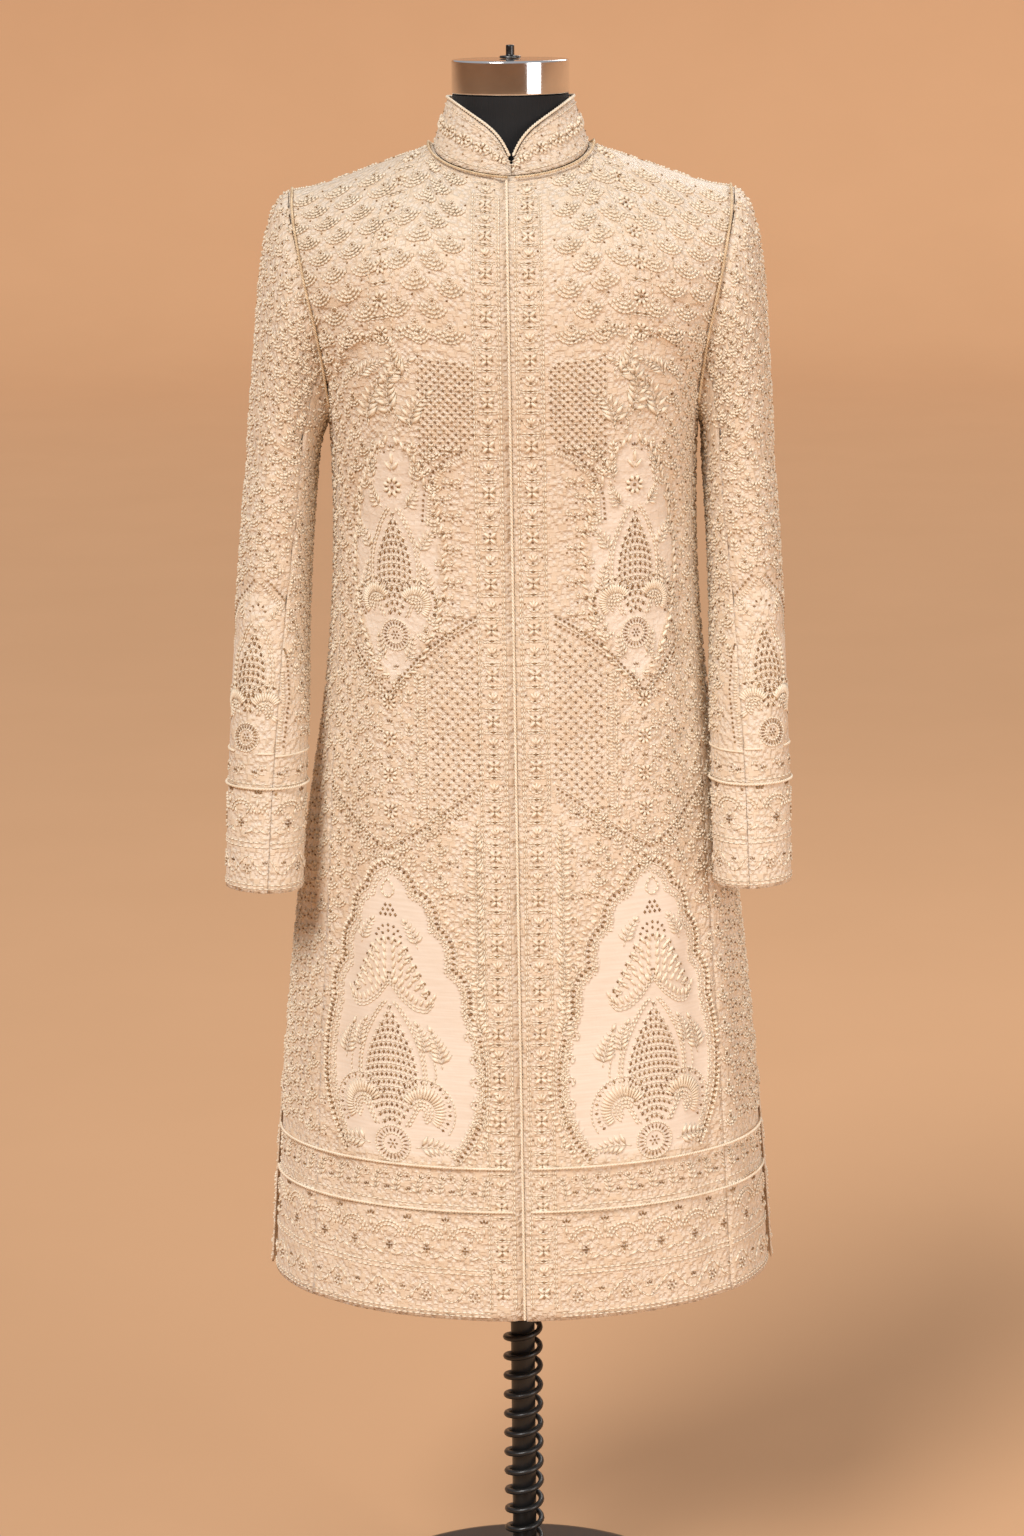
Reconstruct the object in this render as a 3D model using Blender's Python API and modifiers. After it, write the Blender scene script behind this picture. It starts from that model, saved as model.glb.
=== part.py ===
"""Sherwani coat on a limbless dress form, at real size: metres, +Z up.

The origin is on the floor under the pole. -Y is the front, and +X is the wearer's left.
The coat is cut from panels 2 mm thick, each its own solid, with a small gap at every seam.
"""

import math

import bmesh
import bpy
from mathutils import Vector

# ---------------------------------------------------------------- driving dimensions
CLOTH = 0.002
SEAM_GAP = 0.0003
LAYER_GAP = 0.0006

HEM_Z = 0.382
HEM_RISE = 0.005
SLIT_TOP_Z = 0.80
ARMPIT_Z = 1.246
SIDE_SEAM_TOP_Z = 1.264
SHOULDER_TIP_X = 0.2106
NECK_SIDE_X = 0.0735
NECK_FRONT_Z = 1.481
NECK_BACK_Z = 1.494
SHOULDER_ROUNDING = 0.11
UNDERLAP = 0.024
SINK_START = 0.015
SINK_END = 0.006
OPENING_TOP_X = -0.003
OPENING_HEM_X = 0.004
SLIT_FLARE = 0.005
NECK_ROUNDNESS = 1.8

CUFF_Z = 0.806
CUFF_CORD_Z = 0.9055
HEM_CORD_HEIGHTS = {"upper": 0.537, "lower": 0.4935}
CORD_RADIUS = 0.0013
PIPING_RADIUS = 0.0014
NECK_CORD_HALF_TURN = 178.2
PIPING_HALF_TURN = 177.0
ARMHOLE_CORD_TURNS = (-140.0, 146.0)
HEM_CORD_START = {1: 0.006, -1: 0.012}
HEM_CORD_STOP = 0.004
NECK_CORD_SPANS = 40
ARMHOLE_CORD_SPANS = 32
CUFF_CORD_SPANS = 28
HEM_CORD_SPANS = 20
FRONT_PIPING_SPANS = 30

POLE_RADIUS = 0.0122
SPRING_WIRE = 0.003
SPRING_RADIUS = 0.0175
SPRING_PITCH = 0.021
SPRING_FOOT_Z = 0.062
SPRING_HEAD_Z = 0.425
SPRING_STEPS_A_TURN = 10
HUB_TOP_Z = 0.045
HUB_RADIUS = 0.021
HEAD_RING_HEIGHT = 0.026
BASE_RADIUS = 0.19
SOCKET_LENGTH = 0.060
FORM_FOOT_Z = 0.850
FORM_SIDES = 24
FORM_SQUARENESS = 2.2
FORM_NECK_Z = 1.5525
NECK_CAP_RADIUS = 0.0555
NECK_CAP_HEIGHT = 0.0325
PIN_HEIGHT = 0.0125

# Each row: height, half width, front depth, back depth, squareness of the coat's outline.
BODY_SECTIONS = [
    (0.382, 0.2495, 0.155, 0.160, 2.00),
    (0.540, 0.2390, 0.149, 0.155, 2.00),
    (0.700, 0.2255, 0.143, 0.150, 2.05),
    (0.800, 0.2140, 0.138, 0.147, 2.10),
    (0.900, 0.1990, 0.133, 0.144, 2.15),
    (0.976, 0.1868, 0.129, 0.139, 2.20),
    (1.060, 0.1782, 0.124, 0.129, 2.25),
    (1.135, 0.1745, 0.122, 0.122, 2.30),
    (1.190, 0.1742, 0.125, 0.123, 2.35),
    (1.246, 0.1765, 0.130, 0.128, 2.40),
    (1.300, 0.1900, 0.133, 0.133, 2.40),
    (1.360, 0.2120, 0.131, 0.133, 2.40),
    (1.410, 0.2260, 0.124, 0.126, 2.40),
    (1.450, 0.2360, 0.108, 0.110, 2.40),
    (1.482, 0.2400, 0.090, 0.090, 2.40),
    (1.545, 0.2400, 0.074, 0.070, 2.40),
]

# Each row: distance from the middle, height of the line over the shoulder.
SHOULDER_LINE = [
    (0.0000, 1.5360),
    (0.0735, 1.5065),
    (0.1330, 1.4860),
    (0.1810, 1.4695),
    (0.2106, 1.4635),
    (0.2500, 1.4560),
]

# Each row: height, half width of the front at the armhole, half width of the back there.
ARMHOLE = [
    (1.246, 0.1735, 0.1765),
    (1.282, 0.1775, 0.1800),
    (1.315, 0.1815, 0.1855),
    (1.343, 0.1865, 0.1905),
    (1.378, 0.1940, 0.1975),
    (1.413, 0.2015, 0.2040),
    (1.440, 0.2075, 0.2085),
    (1.4635, 0.2106, 0.2106),
]

# Each row: height, where the front meets the side panel as a share of the half width.
FRONT_SEAM = [
    (0.382, 0.835),
    (0.540, 0.840),
    (0.790, 0.860),
    (0.967, 0.930),
    (1.110, 0.955),
    (1.264, 0.965),
]

# Each row: height, centre x, centre y, half width seen from the front, half depth, turn in degrees.
SLEEVE_SECTIONS = [
    (1.205, 0.2158, -0.004, 0.0342, 0.062, 0.0),
    (1.130, 0.2203, -0.012, 0.0342, 0.054, 2.0),
    (1.050, 0.2233, -0.027, 0.0349, 0.047, 9.0),
    (0.975, 0.2240, -0.049, 0.0366, 0.040, 18.0),
    (0.900, 0.2250, -0.067, 0.0369, 0.035, 26.0),
    (0.806, 0.2264, -0.082, 0.0368, 0.032, 32.0),
]
SLEEVE_SQUARENESS = 2.2
SLEEVE_SPLAY = {"left": 0.0, "right": 0.019}
SLEEVE_HEAD_STEPS = (0.0, 0.05, 0.12, 0.21, 0.33, 0.48, 0.66, 0.84)
SLEEVE_HEAD_PULL = 0.42
SLEEVE_HEAD_BULGE = 0.10
SLEEVE_HEAD_BLEND = (80.0, 150.0)
UPPER_SLEEVE_SPANS = 14
UNDER_SLEEVE_SPANS = 6
UNDER_SLEEVE_HALF_SPAN = 56.0

# Each row: height, half width, front depth, back depth of the dress form.
FORM_SECTIONS = [
    (0.850, 0.150, 0.098, 0.112),
    (0.856, 0.163, 0.108, 0.122),
    (0.880, 0.170, 0.114, 0.129),
    (0.930, 0.173, 0.117, 0.131),
    (1.000, 0.166, 0.113, 0.123),
    (1.060, 0.157, 0.108, 0.112),
    (1.125, 0.152, 0.106, 0.104),
    (1.190, 0.155, 0.110, 0.106),
    (1.250, 0.162, 0.117, 0.114),
    (1.310, 0.169, 0.119, 0.119),
    (1.370, 0.175, 0.114, 0.116),
    (1.415, 0.179, 0.101, 0.104),
    (1.440, 0.174, 0.086, 0.088),
    (1.454, 0.162, 0.077, 0.077),
    (1.466, 0.140, 0.070, 0.068),
    (1.476, 0.112, 0.065, 0.062),
    (1.486, 0.084, 0.060, 0.058),
    (1.498, 0.062, 0.057, 0.055),
    (1.515, 0.056, 0.055, 0.054),
    (1.552, 0.055, 0.055, 0.055),
]

COLLAR_TOP_HALF_WIDTH = 0.0595
COLLAR_TOP_FRONT_Y = -0.0615
COLLAR_TOP_BACK_Y = 0.0585
COLLAR_TOP_FRONT_Z = 1.524
COLLAR_TOP_SIDE_Z = 1.548
COLLAR_TOP_BACK_Z = 1.550
COLLAR_CORNER_HEIGHT = 0.17
COLLAR_CORNER_REACH = 0.013

# Where the panels' rows lie, as shares from hem to armpit and from armpit to shoulder.
LOWER_ROWS = (0.0, 0.09, 0.18, 0.28, 0.38, 0.48, 0.57, 0.66, 0.74, 0.82, 0.89, 0.95, 1.0)
UPPER_ROWS = (0.17, 0.34, 0.50, 0.64, 0.76, 0.86, 0.93, 0.975, 0.994, 1.0)
NECK_COLUMNS = 4
SHOULDER_COLUMNS = 5
SIDE_COLUMNS = 3

COLOURS = {
    # name: red, green, blue, roughness, metallic
    "ivory_cloth": (0.86, 0.76, 0.62, 0.75, 0.0),
    "gold_cord": (0.72, 0.55, 0.34, 0.55, 0.2),
    "cream_thread": (0.90, 0.81, 0.67, 0.70, 0.0),
    "black_jersey": (0.012, 0.012, 0.013, 0.90, 0.0),
    "black_paint": (0.014, 0.014, 0.015, 0.45, 0.0),
    "chrome": (0.82, 0.82, 0.83, 0.12, 1.0),
    "dark_steel": (0.10, 0.10, 0.11, 0.35, 1.0),
}


# ---------------------------------------------------------------- helpers
def read_rows(rows, at, column):
    """A smooth curve through one column of a table whose first column rises."""
    last = len(rows) - 1
    at = min(max(at, rows[0][0]), rows[last][0])
    k = 0
    while k < last - 1 and at > rows[k + 1][0]:
        k += 1
    here, there = rows[k], rows[k + 1]
    span = there[0] - here[0]
    before = rows[max(k - 1, 0)]
    after = rows[min(k + 2, last)]
    slope_in = (there[column] - before[column]) / (there[0] - before[0])
    slope_out = (after[column] - here[column]) / (after[0] - here[0])
    s = (at - here[0]) / span
    return (
        here[column] * (1 + 2 * s) * (1 - s) ** 2
        + there[column] * s * s * (3 - 2 * s)
        + span * slope_in * s * (1 - s) ** 2
        - span * slope_out * s * s * (1 - s)
    )


def ease(low, high, value):
    """0 below low, 1 above high, and a smooth step between."""
    s = min(max((value - low) / (high - low), 0.0), 1.0)
    return s * s * (3 - 2 * s)


def mix(start, end, share):
    return start + (end - start) * share


def clear_scene():
    for obj in list(bpy.data.objects):
        bpy.data.objects.remove(obj, do_unlink=True)


def make_materials():
    made = {}
    for name, (red, green, blue, roughness, metallic) in COLOURS.items():
        material = bpy.data.materials.new(name)
        material.use_nodes = True
        shader = material.node_tree.nodes["Principled BSDF"]
        shader.inputs["Base Color"].default_value = (red, green, blue, 1.0)
        shader.inputs["Roughness"].default_value = roughness
        shader.inputs["Metallic"].default_value = metallic
        material.diffuse_color = (red, green, blue, 1.0)
        made[name] = material
    return made


def add_object(name, data, material, collection):
    obj = bpy.data.objects.new(name, data)
    collection.objects.link(obj)
    data.materials.append(material)
    return obj


def add_wall(name, grid, material, collection):
    """A closed cloth wall. Each grid point is (outer point, outward direction), row by row."""
    rows, columns = len(grid), len(grid[0])
    shell = bmesh.new()
    outer = [[shell.verts.new(point) for point, _ in row] for row in grid]
    inner = [[shell.verts.new(point - out * CLOTH) for point, out in row] for row in grid]
    for r in range(rows - 1):
        for c in range(columns - 1):
            shell.faces.new((outer[r][c], outer[r][c + 1], outer[r + 1][c + 1], outer[r + 1][c]))
            shell.faces.new((inner[r][c], inner[r + 1][c], inner[r + 1][c + 1], inner[r][c + 1]))
    rim = [(0, c) for c in range(columns)]
    rim += [(r, columns - 1) for r in range(1, rows)]
    rim += [(rows - 1, c) for c in range(columns - 2, -1, -1)]
    rim += [(r, 0) for r in range(rows - 2, 0, -1)]
    for (r, c), (r2, c2) in zip(rim, rim[1:] + rim[:1]):
        shell.faces.new((outer[r][c], inner[r][c], inner[r2][c2], outer[r2][c2]))
    bmesh.ops.recalc_face_normals(shell, faces=shell.faces)
    mesh = bpy.data.meshes.new(name)
    shell.to_mesh(mesh)
    shell.free()
    mesh.shade_smooth()
    mesh.set_sharp_from_angle(angle=math.radians(50))
    return add_object(name, mesh, material, collection)


def add_tube(name, points, radius, material, collection, closed=False, sides_level=1):
    """A round cord or wire along a poly line."""
    curve = bpy.data.curves.new(name, "CURVE")
    curve.dimensions = "3D"
    curve.bevel_depth = radius
    curve.bevel_resolution = sides_level
    curve.use_fill_caps = not closed
    spline = curve.splines.new("POLY")
    spline.points.add(len(points) - 1)
    for target, point in zip(spline.points, points):
        target.co = (*point, 1.0)
    spline.use_cyclic_u = closed
    return add_object(name, curve, material, collection)


def add_turned(name, profile, material, collection, steps=40):
    """A turned piece: its profile at +X runs from top to bottom on the outer side."""
    mesh = bpy.data.meshes.new(name)
    mesh.from_pydata([(x, 0.0, z) for x, z in profile], [(k, k + 1) for k in range(len(profile) - 1)], [])
    obj = add_object(name, mesh, material, collection)
    screw = obj.modifiers.new("turn", "SCREW")
    screw.axis = "Z"
    screw.steps = steps
    screw.render_steps = steps
    screw.use_merge_vertices = True
    screw.merge_threshold = 0.00001
    screw.use_smooth_shade = True
    return obj


# ---------------------------------------------------------------- the coat's surface
def half_width(z, behind=False):
    """Half the coat's width; below the slits the back stands a little wider than the fronts."""
    flare = SLIT_FLARE * (1 - ease(HEM_Z, SLIT_TOP_Z, z)) if behind else 0.0
    return read_rows(BODY_SECTIONS, z, 1) + flare


def depth(z, behind):
    return read_rows(BODY_SECTIONS, z, 3 if behind else 2)


def squareness(z):
    return read_rows(BODY_SECTIONS, z, 4)


def shoulder_z(x):
    return read_rows(SHOULDER_LINE, abs(x), 1)


def shoulder_fall(x, z):
    """How far z is below the shoulder line at x, as a share of the rounding."""
    return (shoulder_z(x) - z) / SHOULDER_ROUNDING


SHOULDER_TIP_Z = shoulder_z(SHOULDER_TIP_X)


def body_y(x, z, behind):
    """The y of the front's or the back's surface at a place in the front view."""
    power = squareness(z)
    share = min(abs(x) / half_width(z, behind), 1.0)
    across = (1 - share**power) ** (1 / power)
    fall = min(max(shoulder_fall(x, z), 0.0), 1.0)
    y = depth(z, behind) * across * math.sqrt(1 - (1 - fall) ** 2)
    return y if behind else -y


def body_level(point, behind):
    """Zero on the coat's surface, and rising outwards."""
    x, y, z = abs(point.x), abs(point.y), point.z
    power = squareness(z)
    share = x / half_width(z, behind)
    fall = shoulder_fall(x, z)
    if fall >= 1.0:
        return share**power + (y / depth(z, behind)) ** power - 1
    across = max(1 - share**power, 1e-9) ** (1 / power)
    return (y / (depth(z, behind) * across)) ** 2 + (1 - fall) ** 2 - 1


def body_out(point, behind):
    """The outward direction at a point of the surface."""
    step = 0.0004
    slope = Vector()
    for axis in range(3):
        ahead, back = point.copy(), point.copy()
        ahead[axis] += step
        back[axis] -= step
        slope[axis] = body_level(ahead, behind) - body_level(back, behind)
    return slope.normalized()


def ring_point(turn, z, behind=False):
    """A point of the ring at z: turn is 0 in the middle and 90 degrees at the side."""
    angle = math.radians(turn)
    power = 2 / squareness(z)
    x = half_width(z, behind) * math.copysign(abs(math.sin(angle)) ** power, math.sin(angle))
    y = depth(z, behind) * abs(math.cos(angle)) ** power
    return Vector((x, y if behind else -y, z))


def turn_at(x, z):
    """The turn at which the front's ring reaches this x."""
    share = x / half_width(z)
    return math.degrees(math.asin(math.copysign(abs(share) ** (squareness(z) / 2), share)))


def turn_beside(turn, z, distance):
    """The turn that lies this far along the front's ring from another."""
    speed = (ring_point(turn, z) - ring_point(turn - 0.2, z)).length / 0.2
    return turn + distance / speed


def opening_x(z):
    """The line where the left front's edge lies, which leans a little."""
    return mix(OPENING_HEM_X, OPENING_TOP_X, (z - HEM_Z) / (NECK_FRONT_Z - HEM_Z))


def hem_z(turn):
    return HEM_Z + HEM_RISE * math.sin(math.radians(min(abs(turn), 90.0))) ** 2


def front_seam_x(z):
    return read_rows(FRONT_SEAM, z, 1) * half_width(z)


def armhole_x(z, behind):
    """The panel's edge at the armhole, which starts where its side seam ends."""
    if behind:
        return read_rows(ARMHOLE, z, 2)
    climb = (z - SIDE_SEAM_TOP_Z) / (SHOULDER_TIP_Z - SIDE_SEAM_TOP_Z)
    step = front_seam_x(SIDE_SEAM_TOP_Z) - read_rows(ARMHOLE, SIDE_SEAM_TOP_Z, 1)
    return read_rows(ARMHOLE, z, 1) + step * max(1 - climb, 0.0) ** 2


def side_top_z(share):
    """The side panel's upper edge, from the front seam (0) to the side seam (1)."""
    return ARMPIT_Z + (SIDE_SEAM_TOP_Z - ARMPIT_Z) * (1 - share) ** 2


def neck_z(x, behind):
    """The neckline's height at x in the front view."""
    share = min(abs(x) / NECK_SIDE_X, 1.0)
    middle = NECK_BACK_Z if behind else NECK_FRONT_Z
    rise = shoulder_z(NECK_SIDE_X) - middle
    return middle + rise * (1 - math.sqrt(max(1 - share**NECK_ROUNDNESS, 0.0)))


# ---------------------------------------------------------------- panels
def panel_point(place, behind, side, sink=0.0):
    """A grid point at a place worked out for the left half: its place and its outward direction."""
    out = body_out(place, behind)
    place = place - out * sink
    return Vector((place.x * side, place.y, place.z)), Vector((out.x * side, out.y, out.z))


def shoulder_place(column, behind):
    """A point of the shoulder seam, from the neck (0) to the armhole."""
    x = mix(NECK_SIDE_X, SHOULDER_TIP_X, column / SHOULDER_COLUMNS)
    return Vector((x, SEAM_GAP / 2 if behind else -SEAM_GAP / 2, shoulder_z(x)))


def neck_edge(inner_lines, behind):
    """The points of a half panel's neckline, out to the shoulder seam."""
    across = [line(NECK_FRONT_Z) for line in inner_lines]
    inner_x = across[-1]
    for column in range(1, NECK_COLUMNS):
        share = math.sin(column / NECK_COLUMNS * math.pi / 2)
        across.append(mix(inner_x, NECK_SIDE_X, share))
    places = []
    for x in across:
        z = neck_z(x, behind)
        places.append(Vector((x, body_y(x, z, behind), z)))
    return places + [shoulder_place(0, behind)]


def half_panel(side, behind, inner_lines, sink):
    """Half of the coat's front or back, from its inner edge out to the side and the armhole.

    inner_lines gives x by height for the first columns; the others spread evenly from the last line.
    """
    columns = NECK_COLUMNS + SHOULDER_COLUMNS
    foot_z = ARMPIT_Z if behind else SIDE_SEAM_TOP_Z
    grid, feet = [], []
    for share in LOWER_ROWS:
        level = mix(HEM_Z, foot_z, share)
        turns = [turn_at(line(level), level) for line in inner_lines]
        edge = 90.0 if behind else turn_at(front_seam_x(level), level)
        last = turn_beside(edge, level, -SEAM_GAP / 2)
        turns += [mix(turns[-1], last, column / columns) for column in range(1, columns + 1)]
        feet = [ring_point(turn, mix(hem_z(turn), foot_z, share), behind) for turn in turns]
        grid.append([panel_point(place, behind, side, sink(place)) for place in feet])
    tops = neck_edge(inner_lines, behind)
    tops += [shoulder_place(column, behind) for column in range(1, SHOULDER_COLUMNS + 1)]
    for climb in UPPER_ROWS:
        straight_x = mix(feet[-1].x, tops[-1].x, climb)
        swing = armhole_x(mix(foot_z, SHOULDER_TIP_Z, climb), behind) - straight_x
        row = []
        for column, (foot, top) in enumerate(zip(feet, tops)):
            place = top
            if climb < 1.0:
                x = mix(foot.x, top.x, climb) + swing * (column / (len(tops) - 1)) ** 3
                z = mix(foot.z, top.z, climb)
                place = Vector((x, body_y(x, z, behind), z))
            row.append(panel_point(place, behind, side, sink(place)))
        grid.append(row)
    return grid


def no_sink(place):
    return 0.0


def underlap_sink(place):
    """How far the right front drops behind the left one, for a place worked out on the left."""
    past_opening = place.x + opening_x(place.z)
    return (CLOTH + 2 * LAYER_GAP) * (1 - ease(SINK_END, SINK_START, past_opening))


def right_edge_x(z):
    return -opening_x(z) - UNDERLAP


def right_sunk_x(z):
    return -opening_x(z) + SINK_END


def right_level_x(z):
    return -opening_x(z) + SINK_START


def middle_x(z):
    return 0.0


LEFT_LINES = (opening_x,)
RIGHT_LINES = (right_edge_x, right_sunk_x, right_level_x)
BACK_LINES = (middle_x,)


def back_grid():
    left = half_panel(1, True, BACK_LINES, no_sink)
    right = half_panel(-1, True, BACK_LINES, no_sink)
    return [row[:0:-1] + other for row, other in zip(right, left)]


def side_grid(side):
    grid = []
    for share in LOWER_ROWS:
        row = []
        for column in range(SIDE_COLUMNS + 1):
            across = column / SIDE_COLUMNS
            level = mix(HEM_Z, side_top_z(across), share)
            first = turn_beside(turn_at(front_seam_x(level), level), level, SEAM_GAP / 2)
            last = turn_beside(90.0, level, -SEAM_GAP / 2)
            turn = mix(first, last, across)
            z = mix(hem_z(turn), side_top_z(across), share)
            row.append(panel_point(ring_point(turn, z), False, side))
        grid.append(row)
    return grid


# ---------------------------------------------------------------- sleeves
# The armhole leans in towards the shoulder, so the sleeve leaves it outwards and a little down.
ARMHOLE_SLANT = Vector((SHOULDER_TIP_X - half_width(ARMPIT_Z), 0.0, SHOULDER_TIP_Z - ARMPIT_Z))
ARMHOLE_RISE = ARMHOLE_SLANT.normalized()
ARMHOLE_OUT = Vector((ARMHOLE_RISE.z, 0.0, -ARMHOLE_RISE.x))
SLEEVE_ROWS = [(-row[0], *row[1:]) for row in SLEEVE_SECTIONS]


def armhole_half(behind):
    """The panels' own armhole edge, from the shoulder down to the armpit."""
    foot_z = ARMPIT_Z if behind else SIDE_SEAM_TOP_Z
    places = []
    for climb in UPPER_ROWS[::-1] + (0.0,):
        z = mix(foot_z, SHOULDER_TIP_Z, climb)
        x = armhole_x(z, behind)
        places.append(Vector((x, body_y(x, z, behind), z)))
    if not behind:
        for column in range(1, SIDE_COLUMNS + 1):
            across = column / SIDE_COLUMNS
            z = side_top_z(across)
            places.append(ring_point(mix(turn_at(front_seam_x(z), z), 90.0, across), z))
    return places


def measure(places):
    """How far along the line each place lies, as a share of its whole length."""
    along = [0.0]
    for here, there in zip(places, places[1:]):
        along.append(along[-1] + (there - here).length)
    return [length / along[-1] for length in along]


ARMHOLE_HALVES = {}


def armhole_point(turn):
    """A point of the left armhole: 0 at the shoulder, 90 at the front, 180 at the armpit."""
    turn %= 360
    behind = turn > 180
    if behind not in ARMHOLE_HALVES:
        places = armhole_half(behind)
        ARMHOLE_HALVES[behind] = (places, measure(places))
    places, along = ARMHOLE_HALVES[behind]
    share = (360 - turn) / 180 if behind else turn / 180
    k = 0
    while k < len(along) - 2 and share > along[k + 1]:
        k += 1
    step = (share - along[k]) / (along[k + 1] - along[k])
    return places[k].lerp(places[k + 1], min(max(step, 0.0), 1.0)), behind


def sleeve_ring_point(turn, z):
    """A point of the sleeve's level ring: turn is 0 outside, 90 in front and 180 inside."""
    centre = Vector((read_rows(SLEEVE_ROWS, -z, 1), read_rows(SLEEVE_ROWS, -z, 2), z))
    wide = read_rows(SLEEVE_ROWS, -z, 3)
    deep = read_rows(SLEEVE_ROWS, -z, 4)
    lean = math.radians(read_rows(SLEEVE_ROWS, -z, 5))
    long = math.sqrt(wide**2 - (deep * math.sin(lean)) ** 2) / math.cos(lean)
    power = 2 / SLEEVE_SQUARENESS
    cos, sin = math.cos(math.radians(turn)), math.sin(math.radians(turn))
    across = long * math.copysign(abs(cos) ** power, cos)
    ahead = deep * math.copysign(abs(sin) ** power, sin)
    x = across * math.cos(lean) + ahead * math.sin(lean)
    y = across * math.sin(lean) - ahead * math.cos(lean)
    return centre + Vector((x, y, 0.0))


def sleeve_point(turn, down, splay):
    """A point of the left sleeve: down is 0 at the armhole, 1 at the arm's top ring, 2 at the cuff."""
    top_z = SLEEVE_SECTIONS[0][0]
    if down >= 1.0:
        place = sleeve_ring_point(turn, mix(top_z, CUFF_Z, down - 1.0))
        ease_in = 1.0
    else:
        start, _ = armhole_point(turn)
        end = sleeve_ring_point(turn, top_z)
        reach = (end - start).length
        bulge = -math.sin(math.radians(turn)) * SLEEVE_HEAD_BULGE
        leave = Vector((ARMHOLE_OUT.x, bulge, ARMHOLE_OUT.z)) * reach * SLEEVE_HEAD_PULL
        arrive = (sleeve_ring_point(turn, top_z - 0.02) - end).normalized() * reach
        s = down
        place = (
            start * (1 + 2 * s) * (1 - s) ** 2
            + end * s * s * (3 - 2 * s)
            + leave * s * (1 - s) ** 2
            - arrive * s * s * (1 - s)
        )
        ease_in = ease(0.0, 1.0, s)
    swing = max(SHOULDER_TIP_Z - place.z, 0.0) / (SHOULDER_TIP_Z - CUFF_Z)
    place.x += splay * swing * ease_in
    return place


def sleeve_out(turn, down, splay):
    """The sleeve's outward direction; over the shoulder it starts as the body's own."""
    around = sleeve_point(turn + 0.8, down, splay) - sleeve_point(turn - 0.8, down, splay)
    low, high = max(down - 0.01, 0.0), min(down + 0.01, 2.0)
    along = sleeve_point(turn, high, splay) - sleeve_point(turn, low, splay)
    out = around.cross(along).normalized()
    if down == 0.0:
        own = ease(*SLEEVE_HEAD_BLEND, abs((turn + 180) % 360 - 180))
        out = body_out(*armhole_point(turn)).lerp(out, own).normalized()
    return out


def sleeve_rate(turn, down, splay):
    """How far one degree goes round the sleeve."""
    return (sleeve_point(turn + 0.5, down, splay) - sleeve_point(turn - 0.5, down, splay)).length


def sleeve_grid(side_name, first, last, spans):
    side = 1 if side_name == "left" else -1
    splay = SLEEVE_SPLAY[side_name]
    arm_steps = [
        1.0 + (SLEEVE_SECTIONS[0][0] - row[0]) / (SLEEVE_SECTIONS[0][0] - CUFF_Z)
        for row in SLEEVE_SECTIONS
    ]
    grid = []
    for down in list(SLEEVE_HEAD_STEPS) + arm_steps:
        row = []
        for k in range(spans + 1):
            turn = mix(first, last, k / spans)
            if k in (0, spans):
                inward = 1 if k == 0 else -1
                turn += inward * SEAM_GAP / 2 / sleeve_rate(turn, down, splay)
            place = sleeve_point(turn, down, splay)
            out = sleeve_out(turn, down, splay)
            if down == 0.0:
                ahead = armhole_point(turn + 2)[0] - armhole_point(turn - 2)[0]
                away = body_out(*armhole_point(turn)).cross(ahead).normalized()
                place = place + away * 2 * SEAM_GAP
            mirrored = Vector((place.x * side, place.y, place.z))
            row.append((mirrored, Vector((out.x * side, out.y, out.z))))
        grid.append(row)
    return grid


# ---------------------------------------------------------------- collar
def neck_point(turn):
    """A point of the panels' own neck edge: turn is 0 at the back, and 180 degrees at the front."""
    behind = abs(turn) < 90
    front_lines = LEFT_LINES if turn >= 0 else RIGHT_LINES
    edge = neck_edge(BACK_LINES if behind else front_lines, behind)
    x = NECK_SIDE_X * math.sin(math.radians(abs(turn)))
    k = 0
    while k < len(edge) - 2 and x > edge[k + 1].x:
        k += 1
    place = edge[k].lerp(edge[k + 1], (x - edge[k].x) / (edge[k + 1].x - edge[k].x))
    return Vector((math.copysign(place.x, turn), place.y, place.z))


def collar_place(turn, climb):
    """The collar's outer face: turn is 0 at the back, and climb 0 at the seam, 1 at full height."""
    foot = neck_point(turn)
    angle = math.radians(turn)
    ahead = (1 - math.cos(angle)) / 2
    head_y = mix(COLLAR_TOP_BACK_Y, COLLAR_TOP_FRONT_Y, ahead)
    side_share = math.sin(angle) ** 2
    end_z = mix(COLLAR_TOP_BACK_Z, COLLAR_TOP_FRONT_Z, ahead)
    head_z = mix(end_z, COLLAR_TOP_SIDE_Z, side_share)
    head = Vector((COLLAR_TOP_HALF_WIDTH * math.sin(angle), head_y, head_z))
    inward = Vector((-math.sin(angle), -math.cos(angle), 0.0)) * SEAM_GAP
    foot = foot + inward + Vector((0.0, 0.0, LAYER_GAP + SEAM_GAP))
    return foot.lerp(head, climb)


def collar_height(turn):
    """The share of its full height that the collar reaches: it rounds off at the front corners."""
    gap = (collar_place(turn, 0.0) - collar_place(math.copysign(180.0, turn), 0.0)).length
    return 1 - (1 - COLLAR_CORNER_HEIGHT) * math.exp(-gap / COLLAR_CORNER_REACH)


def collar_out(turn, climb):
    around = collar_place(turn + 0.5, climb) - collar_place(turn - 0.5, climb)
    up = collar_place(turn, climb + 0.05) - collar_place(turn, climb - 0.05)
    return around.cross(up).normalized()


def collar_turns():
    """Steps round the collar, closer together at the rounded corners."""
    half = [8, 24, 42, 60, 78, 96, 112, 126, 138, 148, 156, 162, 167, 171, 174, 176.5, 178.6, 179.75]
    return [-turn for turn in reversed(half)] + half


def collar_grid():
    grid = []
    for level in (0.0, 0.35, 0.7, 1.0):
        row = []
        for turn in collar_turns():
            climb = level * collar_height(turn)
            row.append((collar_place(turn, climb), collar_out(turn, climb)))
        grid.append(row)
    return grid


# ---------------------------------------------------------------- cords laid on the seams
def collar_edge(turn):
    return collar_place(turn, collar_height(turn))


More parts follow.
